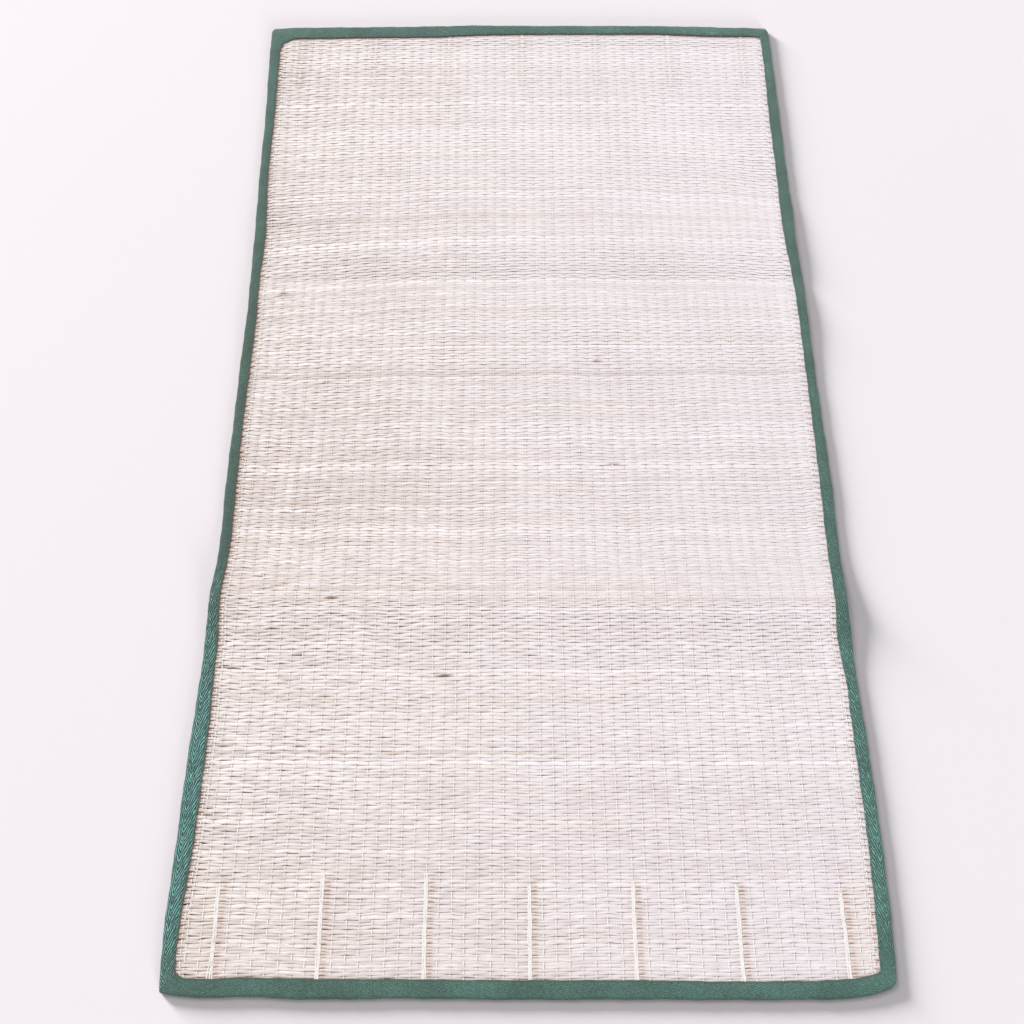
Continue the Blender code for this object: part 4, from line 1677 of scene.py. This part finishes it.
@dataclass(frozen=True)
class SedgeFinish:
    """Dried split sedge: pale, silky, streaked along its fibres, with brown stains, warmer by the left
    selvage, and painted shade in its grooves, pits and ticks and under the tapes' inner edges.
    """

    bright: Colour = (0.985, 0.963, 0.968)
    shade: Colour = (0.684, 0.620, 0.602)
    warm: Colour = (1.00, 0.972, 0.920)
    cool: Colour = (0.985, 0.962, 1.000)
    # groove and pit are colours of painted shade: groove in the hollows between rows, pit in the gaps
    # beside threads, cords and selvages. brown is both real stains and the painted shade under the
    # tapes' inner edges.
    groove: Colour = (0.63, 0.48, 0.41)
    pit: Colour = (0.30, 0.185, 0.125)
    brown: Colour = (0.22, 0.115, 0.055)
    # Strengths of the painted shade: dashes and dots beside the threads, ticks beside the cords and
    # selvages, and the brown column right of the near cords.
    dash: float = 0.62
    dot: float = 0.46
    tick: float = 1.15
    column: float = 0.13
    roughness: float = 0.46

    def build(self, effects: Effects) -> Material:
        """Makes the material of the weft."""
        material, wiring, shader = start_material("split_sedge", self.roughness)
        lay = wiring.add("ShaderNodeAttribute", attribute_name="splint_lay")
        tone, warmth, stain = wiring.attribute("splint_tone")
        groove, contrast, crossing = wiring.attribute("splint_shade_marks")
        fibre = wiring.group(effects.fibre, Lay=lay.outputs["Vector"], Along=70.0, Around=19.0)
        mottle = wiring.group(effects.mottle, Broad=5.0, Small=55.0)
        streak = wiring.spread(fibre.outputs["Streak"], 0.3, 0.7, -0.38, 0.38)
        patch = wiring.spread(mottle.outputs["Broad"], 0.3, 0.7, -0.06, 0.06)
        speck = wiring.spread(mottle.outputs["Small"], 0.3, 0.7, -0.10, 0.10)
        uneven = wiring.times(wiring.plus(streak, speck), contrast)
        level = wiring.plus(tone, wiring.plus(uneven, patch))
        level = wiring.spread(level, 0.0, 1.0, 0.0, 1.0)
        base = wiring.blend(level, self.shade, self.bright)
        warmed = wiring.spread(warmth, 0.0, 1.0, 0.0, 1.0)
        tint = wiring.blend(warmed, self.cool, self.warm)
        base = wiring.blend(1.0, base, tint, "MULTIPLY")
        parts = wiring.add("ShaderNodeSeparateXYZ")
        wiring.put(parts.inputs[0], lay.outputs["Vector"])
        depth = self.depth(wiring, parts.outputs, groove, contrast, crossing)
        # Painted shade in the grooves, pits and column, then brown for real stains and for the painted
        # shade under the tapes.
        base = wiring.blend(wiring.spread(depth, 0.0, 0.9, 0.0, 0.9), base, self.groove)
        base = wiring.blend(wiring.spread(depth, 1.0, 2.1, 0.0, 1.0), base, self.pit)
        base = wiring.blend(wiring.spread(stain, 0.05, 1.0, 0.0, 0.9), base, self.brown)
        wiring.put(shader.inputs["Base Color"], base)
        silkiest, driest = self.roughness - 0.1, self.roughness + 0.12
        rough = wiring.spread(fibre.outputs["Ridge"], 0.3, 0.7, silkiest, driest)
        wiring.put(shader.inputs["Roughness"], rough)
        add_relief(wiring, shader, fibre.outputs["Ridge"], 0.0004, 0.6)
        return material

    def depth(
        self,
        wiring: Wiring,
        lay: Sequence[Socket],
        groove: Socket,
        contrast: Socket,
        crossing: Socket,
    ) -> Socket:
        """How deep in painted shade a point of a splint is.

        Args:
            wiring: The wiring of the material.
            lay: Place across the mat, share of the way round the splint, and the row's chance.
            groove: How dark the painted shade in the groove beside the splint is.
            contrast: How uneven the splints look.
            crossing: Place along the splint, counted in threads.

        Returns:
            The depth, from 0 for none.
        """
        across, around, chance = lay
        from_top = wiring.maths("ABSOLUTE", wiring.minus(around, 0.3))
        broken = wiring.vector(wiring.times(across, 34.0), wiring.times(chance, 90.0), 0.0)
        broken = wiring.spread(wiring.noise(broken, 1.0, 2.0), 0.34, 0.68, 0.35, 2.3)
        grooves = wiring.times(wiring.spread(from_top, 0.09, 0.28, 0.0, 1.0), groove)
        depth = wiring.times(grooves, broken)
        dots, dashes = self.beside_thread(wiring, crossing)
        dashes = wiring.times(dashes, contrast)
        close = wiring.spread(from_top, 0.055, 0.20, 0.0, 1.0)
        depth = wiring.plus(depth, wiring.times(close, dashes))
        dots = wiring.times(dots, wiring.maths("MINIMUM", contrast, 1.0))
        near_flank = wiring.spread(around, 0.335, 0.40, 0.0, 1.0)
        depth = wiring.plus(depth, wiring.times(near_flank, dots))
        beside, column = self.beside_cord(wiring, crossing)
        ticks = wiring.plus(beside, self.at_selvage(wiring, crossing))
        ticks = wiring.times(ticks, wiring.spread(chance, 0.10, 0.60, 0.50 * self.tick, self.tick))
        near_flank = wiring.spread(around, 0.285, 0.38, 0.0, 1.0)
        depth = wiring.plus(depth, wiring.times(near_flank, ticks))
        return wiring.plus(depth, wiring.times(column, broken))

    def spot(self, wiring: Wiring, place: object, middle: float, full: float, gone: float) -> Socket:
        """1 around a middle, fading to 0 on both sides of it."""
        away = wiring.maths("ABSOLUTE", wiring.minus(place, middle))
        return wiring.spread(away, full, gone, 1.0, 0.0)

    def place(self, wiring: Wiring) -> Sequence[Socket]:
        """The point's own x, y and z."""
        parts = wiring.add("ShaderNodeSeparateXYZ")
        wiring.put(parts.inputs[0], wiring.add("ShaderNodeTexCoord").outputs["Object"])
        return parts.outputs

    def beside_thread(self, wiring: Wiring, crossing: Socket) -> tuple:
        """Shade beside the threads: a short dash in the far rows, two small dots in the near ones.

        Args:
            wiring: The wiring of the material.
            crossing: Place along the splint, counted in threads.

        Returns:
            How deep the dots and the dashes are.
        """
        aside = wiring.minus(wiring.maths("FRACT", wiring.plus(crossing, 0.5)), 0.5)
        near = wiring.spread(self.place(wiring)[1], -0.24, -0.38, 0.0, 1.0)
        right = wiring.times(self.spot(wiring, aside, 0.110, 0.03, 0.08), self.dot)
        left = wiring.times(self.spot(wiring, aside, -0.105, 0.02, 0.065), 0.5 * self.dot)
        dots = wiring.times(wiring.maths("MAXIMUM", right, left), near)
        dash = wiring.times(self.spot(wiring, aside, 0.0, 0.11, 0.22), self.dash)
        return dots, wiring.times(dash, wiring.minus(1.0, near))

    def beside_cord(self, wiring: Wiring, crossing: Socket) -> tuple:
        """Painted shade beside the end cords: dark ticks, and a soft brown column right of the near
        ones.

        Args:
            wiring: The wiring of the material.
            crossing: Place along the splint, counted in threads.

        Returns:
            How deep the ticks are, and how brown the column is.
        """
        turn = wiring.times(wiring.plus(crossing, 1.0), 1 / THREADS_PER_CORD)
        turn = wiring.maths("FRACT", turn)
        aside = wiring.minus(wiring.times(turn, float(THREADS_PER_CORD)), THREADS_PER_CORD / 2)
        x, y, _ = self.place(wiring)
        near_right = self.spot(wiring, aside, 0.43, 0.05, 0.30)
        far_right = self.spot(wiring, aside, 0.36, 0.06, 0.42)
        left = self.spot(wiring, aside, -0.34, 0.04, 0.24)
        # The near cords right of the middle reach less far in, and the last one least.
        short = wiring.spread(x, 0.0, 0.06, 0.0, 0.010)
        short = wiring.plus(short, wiring.spread(x, 0.33, 0.38, 0.0, 0.010))
        at_end = wiring.spread(wiring.plus(y, short), -0.742, -0.756, 0.0, 1.0)
        near = wiring.times(wiring.plus(near_right, wiring.times(left, 0.20)), at_end)
        column = wiring.times(self.spot(wiring, aside, 0.44, 0.12, 0.42), at_end)
        column = wiring.times(column, self.column)
        far = wiring.plus(far_right, left)
        far = wiring.times(far, wiring.spread(y, 0.742, 0.760, 0.0, 1.0))
        far = wiring.times(far, wiring.spread(x, -0.36, -0.30, 0.90, 0.38))
        return wiring.plus(near, far), column

    def at_selvage(self, wiring: Wiring, crossing: Socket) -> Socket:
        """Painted shade of the openings at both selvages: dark ticks, wide at the near left and small
        elsewhere.

        Args:
            wiring: The wiring of the material.
            crossing: Place along the splint, counted in threads.

        Returns:
            How deep the ticks are.
        """
        near = wiring.spread(self.place(wiring)[1], 0.20, -0.20, 0.0, 1.0)
        wide = wiring.times(wiring.spread(crossing, 0.10, 0.65, 1.0, 0.0), near)
        small = self.spot(wiring, crossing, 0.05, 0.05, 0.24)
        right = self.spot(wiring, crossing, 53.86, 0.06, 0.26)
        right = wiring.times(right, self.along_right(wiring))
        left = wiring.times(wiring.maths("MAXIMUM", wide, small), 1.35)
        return wiring.plus(left, right)

    def along_right(self, wiring: Wiring) -> Socket:
        """How deep the right selvage's ticks are along the mat: most at the near end."""
        y = self.place(wiring)[1]
        rising = wiring.spread(y, 0.40, -0.30, 0.10, 0.65)
        return wiring.times(rising, wiring.spread(y, -0.55, -0.85, 1.0, 2.4))


@dataclass(frozen=True)
class ThreadFinish:
    """A spun thread or cord: fibres that wind round it, a little fluffy."""

    name: str
    bright: Colour
    shade: Colour
    twist: float
    roughness: float = 0.75

    def build(self, effects: Effects) -> Material:
        """Makes the material of a spun thread."""
        material, wiring, shader = start_material(self.name, self.roughness)
        lay = wiring.add("ShaderNodeAttribute", attribute_name="thread_lay")
        along, around, strand = wiring.attribute("thread_lay")
        fibre = wiring.group(effects.fibre, Lay=lay.outputs["Vector"], Along=400.0, Around=6.0)
        turn = wiring.plus(wiring.times(along, self.twist), around)
        wave = wiring.maths("SINE", wiring.times(turn, 2 * math.pi))
        level = wiring.spread(fibre.outputs["Streak"], 0.3, 0.7, 0.2, 1.0)
        wound = wiring.spread(wave, -1.0, 1.0, 0.75, 1.0)
        base = wiring.blend(wiring.times(level, wound), self.shade, self.bright)
        wiring.put(shader.inputs["Base Color"], base)
        add_relief(wiring, shader, wiring.plus(wave, fibre.outputs["Ridge"]), 0.0002, 0.4)
        return material


@dataclass(frozen=True)
class TapeFinish:
    """Green herringbone twill, with painted highlights and some lighter flecks on its yarns, and
    painted shade along its inner edge.
    """

    dark: Colour = (0.020, 0.049, 0.040)
    mid: Colour = (0.063, 0.144, 0.112)
    # light is the colour of the painted highlights and lighter flecks on the yarns; edge is the brown
    # of the painted shade along the inner edge.
    light: Colour = (0.245, 0.52, 0.465)
    edge: Colour = (0.095, 0.072, 0.052)
    teal: Colour = (0.84, 1.02, 1.08)
    grey: Colour = (1.08, 0.98, 0.94)
    yarn: float = 0.0029
    slant: float = 0.36
    roughness: float = 0.72

    def build(self, effects: Effects) -> Material:
        """Makes the material of the binding tape."""
        material, wiring, shader = start_material("green_twill", self.roughness)
        along, across, from_middle = wiring.attribute("tape_lay")
        bright, teal, bold = wiring.attribute("tape_tone")
        brown, _, _ = wiring.attribute("tape_edge_shade")
        mirrored = wiring.maths("ABSOLUTE", from_middle)
        slanted = wiring.minus(mirrored, wiring.times(along, self.slant))
        for scale, reach in ((90.0, 0.0040), (330.0, 0.0015)):
            shaken = wiring.noise(wiring.vector(along, from_middle, 0.0), scale, 1.0)
            slanted = wiring.plus(slanted, wiring.times(shaken, reach))
        wave = wiring.maths("SINE", wiring.times(slanted, 2 * math.pi / self.yarn))
        twill = wiring.spread(wave, -1.0, 1.0, 0.0, 1.0)
        streaks = wiring.vector(wiring.times(along, 100.0), wiring.times(slanted, 900.0), 0.0)
        streak = wiring.spread(wiring.noise(streaks, 1.0, 2.0), 0.40, 0.70, 0.0, 1.0)
        mottle = wiring.group(effects.mottle, Broad=16.0, Small=420.0)
        speck = wiring.spread(mottle.outputs["Small"], 0.35, 0.7, -0.16, 0.16)
        patch = wiring.spread(mottle.outputs["Broad"], 0.3, 0.7, -0.10, 0.10)
        level = wiring.plus(wiring.plus(bright, speck), patch)
        swing = wiring.times(wiring.minus(twill, 0.5), bold)
        level = wiring.plus(level, wiring.times(swing, 1.25))
        base = wiring.blend(wiring.spread(level, 0.0, 0.55, 0.0, 1.0), self.dark, self.mid)
        # Painted highlights on the yarns, strongest where the tape is boldest, joined by lighter
        # flecks.
        lit = wiring.times(streak, wiring.spread(level, 0.45, 0.85, 0.0, 1.0))
        lit = wiring.times(lit, wiring.spread(bold, 0.0, 1.2, 0.30, 2.2))
        fleck = wiring.noise(wiring.vector(along, across, 0.0), 850.0, 1.0)
        fleck = wiring.spread(fleck, 0.58, 0.74, 0.0, 0.52)
        fleck = wiring.times(fleck, wiring.spread(bold, 0.15, 0.60, 1.0, 0.35))
        lit = wiring.maths("MAXIMUM", lit, fleck)
        base = wiring.blend(lit, base, self.light)
        tint = wiring.blend(teal, self.grey, self.teal)
        base = wiring.blend(1.0, base, tint, "MULTIPLY")
        # Painted shade along the tape's inner edge.
        base = wiring.blend(brown, base, self.edge)
        wiring.put(shader.inputs["Base Color"], base)
        shader.inputs["Sheen Weight"].default_value = 0.25
        shader.inputs["Sheen Roughness"].default_value = 0.5
        height = wiring.plus(twill, wiring.times(streak, 0.6))
        add_relief(wiring, shader, height, 0.0003, 0.7)
        return material


@dataclass(frozen=True)
class FloorFinish:
    """A plain pale floor with the faintest unevenness."""

    pale: Colour = (0.303, 0.290, 0.300)
    other: Colour = (0.300, 0.287, 0.297)

    def build(self, effects: Effects) -> Material:
        """Makes the material of the floor."""
        material, wiring, shader = start_material("pale_floor", 0.9)
        mottle = wiring.group(effects.mottle, Broad=1.5, Small=30.0)
        base = wiring.blend(mottle.outputs["Broad"], self.pale, self.other)
        wiring.put(shader.inputs["Base Color"], base)
        shader.inputs["Specular IOR Level"].default_value = 0.2
        return material


@dataclass(frozen=True)
class FarLight:
    """A soft light from far away.

    Its bearing is in degrees from +X towards +Y, its height in degrees above the
    floor, and its softness the angle that it fills. One that grazes lights only the
    floor, so that the mat's edges cast their soft shadow on it.
    """

    name: str
    bearing: float
    height: float
    softness: float
    power: float
    colour: Colour
    grazes: bool


@dataclass
class Studio:
    """A pale floor, soft light all round with a key from the far left, and the camera."""

    floor_size: float = 50.0
    floor_drop: float = 0.0004
    sky: Colour = (1.0, 0.985, 1.0)
    sky_strength: float = 0.74
    lens: float = 63.63
    sensor: float = 36.0
    eye: Colour = (-0.0301, -1.7366, 2.1390)
    pitch: float = 53.859
    yaw: float = 0.378
    roll: float = 0.303
    lights: tuple[FarLight, ...] = (
        FarLight("key", 140.0, 45.0, 30.0, 1.55, (1.0, 0.985, 0.97), False),
        FarLight("floor_light", 135.0, 10.0, 15.0, 27.5, (1.0, 0.98, 0.99), True),
        FarLight("floor_halo", -70.0, 7.0, 12.0, 8.0, (1.0, 0.98, 0.99), True),
    )

    def build_floor(self, material: Material) -> Piece:
        """Lays the floor under the mat."""
        shape = bmesh.new()
        bmesh.ops.create_grid(shape, x_segments=1, y_segments=1, size=self.floor_size / 2)
        bmesh.ops.translate(shape, verts=shape.verts, vec=(0, 0, -self.floor_drop))
        mesh = bpy.data.meshes.new("studio_floor")
        shape.to_mesh(mesh)
        shape.free()
        mesh.materials.append(material)
        floor = add_object("studio_floor", mesh)
        return floor

    def build_lights(self, floor: Piece) -> None:
        """Sets the sky's soft light and the studio's own lights.

        Args:
            floor: The floor, which the grazing lights are kept to.
        """
        world = bpy.data.worlds.new("studio_sky")
        world.use_nodes = True
        sky = world.node_tree.nodes["Background"]
        sky.inputs["Color"].default_value = (*self.sky, 1.0)
        sky.inputs["Strength"].default_value = self.sky_strength
        bpy.context.scene.world = world
        for light in self.lights:
            lamp = bpy.data.lights.new(light.name, "SUN")
            lamp.angle = math.radians(light.softness)
            lamp.energy = light.power
            lamp.color = light.colour
            lamp_object = add_object(light.name, lamp)
            bearing, height = math.radians(light.bearing), math.radians(light.height)
            level = math.cos(height)
            source = Vector((level * math.cos(bearing), level * math.sin(bearing), math.sin(height)))
            lamp_object.rotation_euler = (-source).to_track_quat("-Z", "Y").to_euler()
            lamp_object.location = source * 4.0
            if light.grazes:
                lit = bpy.data.collections.new("lit_by_" + light.name)
                lit.objects.link(floor)
                lamp_object.light_linking.receiver_collection = lit

    def build_camera(self) -> None:
        """Sets the camera at the viewing angle of the reference."""
        pitch, yaw, roll = (math.radians(angle) for angle in (self.pitch, self.yaw, self.roll))
        forward = math.cos(pitch)
        ahead = Vector((math.sin(yaw) * forward, math.cos(yaw) * forward, -math.sin(pitch)))
        level = Vector((math.cos(yaw), -math.sin(yaw), 0.0))
        upward = level.cross(ahead)
        right = level * math.cos(roll) + upward * math.sin(roll)
        up = upward * math.cos(roll) - level * math.sin(roll)
        data = bpy.data.cameras.new("studio_camera")
        data.lens = self.lens
        data.sensor_width = self.sensor
        data.clip_start = 0.05
        data.clip_end = 60.0
        camera = add_object("studio_camera", data)
        turn = Matrix((right, up, -ahead)).transposed().to_4x4()
        camera.matrix_world = Matrix.Translation(self.eye) @ turn
        bpy.context.scene.camera = camera


@dataclass
class SedgeMat:
    """The whole mat: builds its pieces, dresses them and ties them to the frame."""

    effects: Effects

    def __post_init__(self) -> None:
        """Lays out the weave."""
        self.plan = MatPlan()
        self.weave = Weave(self.plan)

    def tie(self, piece: Piece, nodes: Sequence[str]) -> None:
        """Ties a piece to the frame and reports it."""
        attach(piece, "root")
        if nodes:
            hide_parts(*nodes)
        log.info("%s: %d faces", piece.name, len(piece.data.polygons))

    def build_weave(self) -> None:
        """Builds the woven sheet and the cords in its ends."""
        sedge = SedgeFinish().build(self.effects)
        thread = ThreadFinish("warp_thread", (1.0, 0.98, 0.97), (0.93, 0.88, 0.85), 700.0)
        cord = ThreadFinish("white_cord", (0.98, 0.955, 0.945), (0.80, 0.75, 0.71), 160.0)
        wefts = SplintRows(self.weave).build(sedge)
        threads = WarpThreads(self.weave).build(thread.build(self.effects))
        cords = EndCords(self.weave).build(cord.build(self.effects))
        for piece in (*wefts, *threads):
            self.tie(piece, ["sedge_sheet"])
        for node, piece in cords.items():
            self.tie(piece, [node])

    def build_binding(self) -> None:
        """Builds the four strips of tape and their seams."""
        tape = TapeFinish().build(self.effects)
        stitch = ThreadFinish("green_stitch", (0.075, 0.215, 0.160), (0.030, 0.100, 0.075), 900.0)
        green = stitch.build(self.effects)
        for side in Side:
            strip = BindingTape(self.plan, side)
            piece = strip.build_tape(tape)
            seam = strip.build_seam(green)
            self.tie(piece, [f"tape_{side.value}"])
            self.tie(seam, [])
            wide = 2 * float(np.mean(strip.width(np.linspace(0, strip.length, 50)))) + BINDING_HEIGHT

    def build(self) -> None:
        """Builds everything on the mat."""
        self.build_weave()
        self.build_binding()


def main() -> None:
    """Builds the dressed mat and its studio."""
    logging.basicConfig(level=logging.INFO, format="%(message)s")
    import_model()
    bpy.context.scene.view_settings.view_transform = "Standard"
    effects = Effects()
    studio = Studio()
    floor = studio.build_floor(FloorFinish().build(effects))
    SedgeMat(effects).build()
    studio.build_lights(floor)
    studio.build_camera()
    log.info("built")


if __name__ == "__main__":
    main()
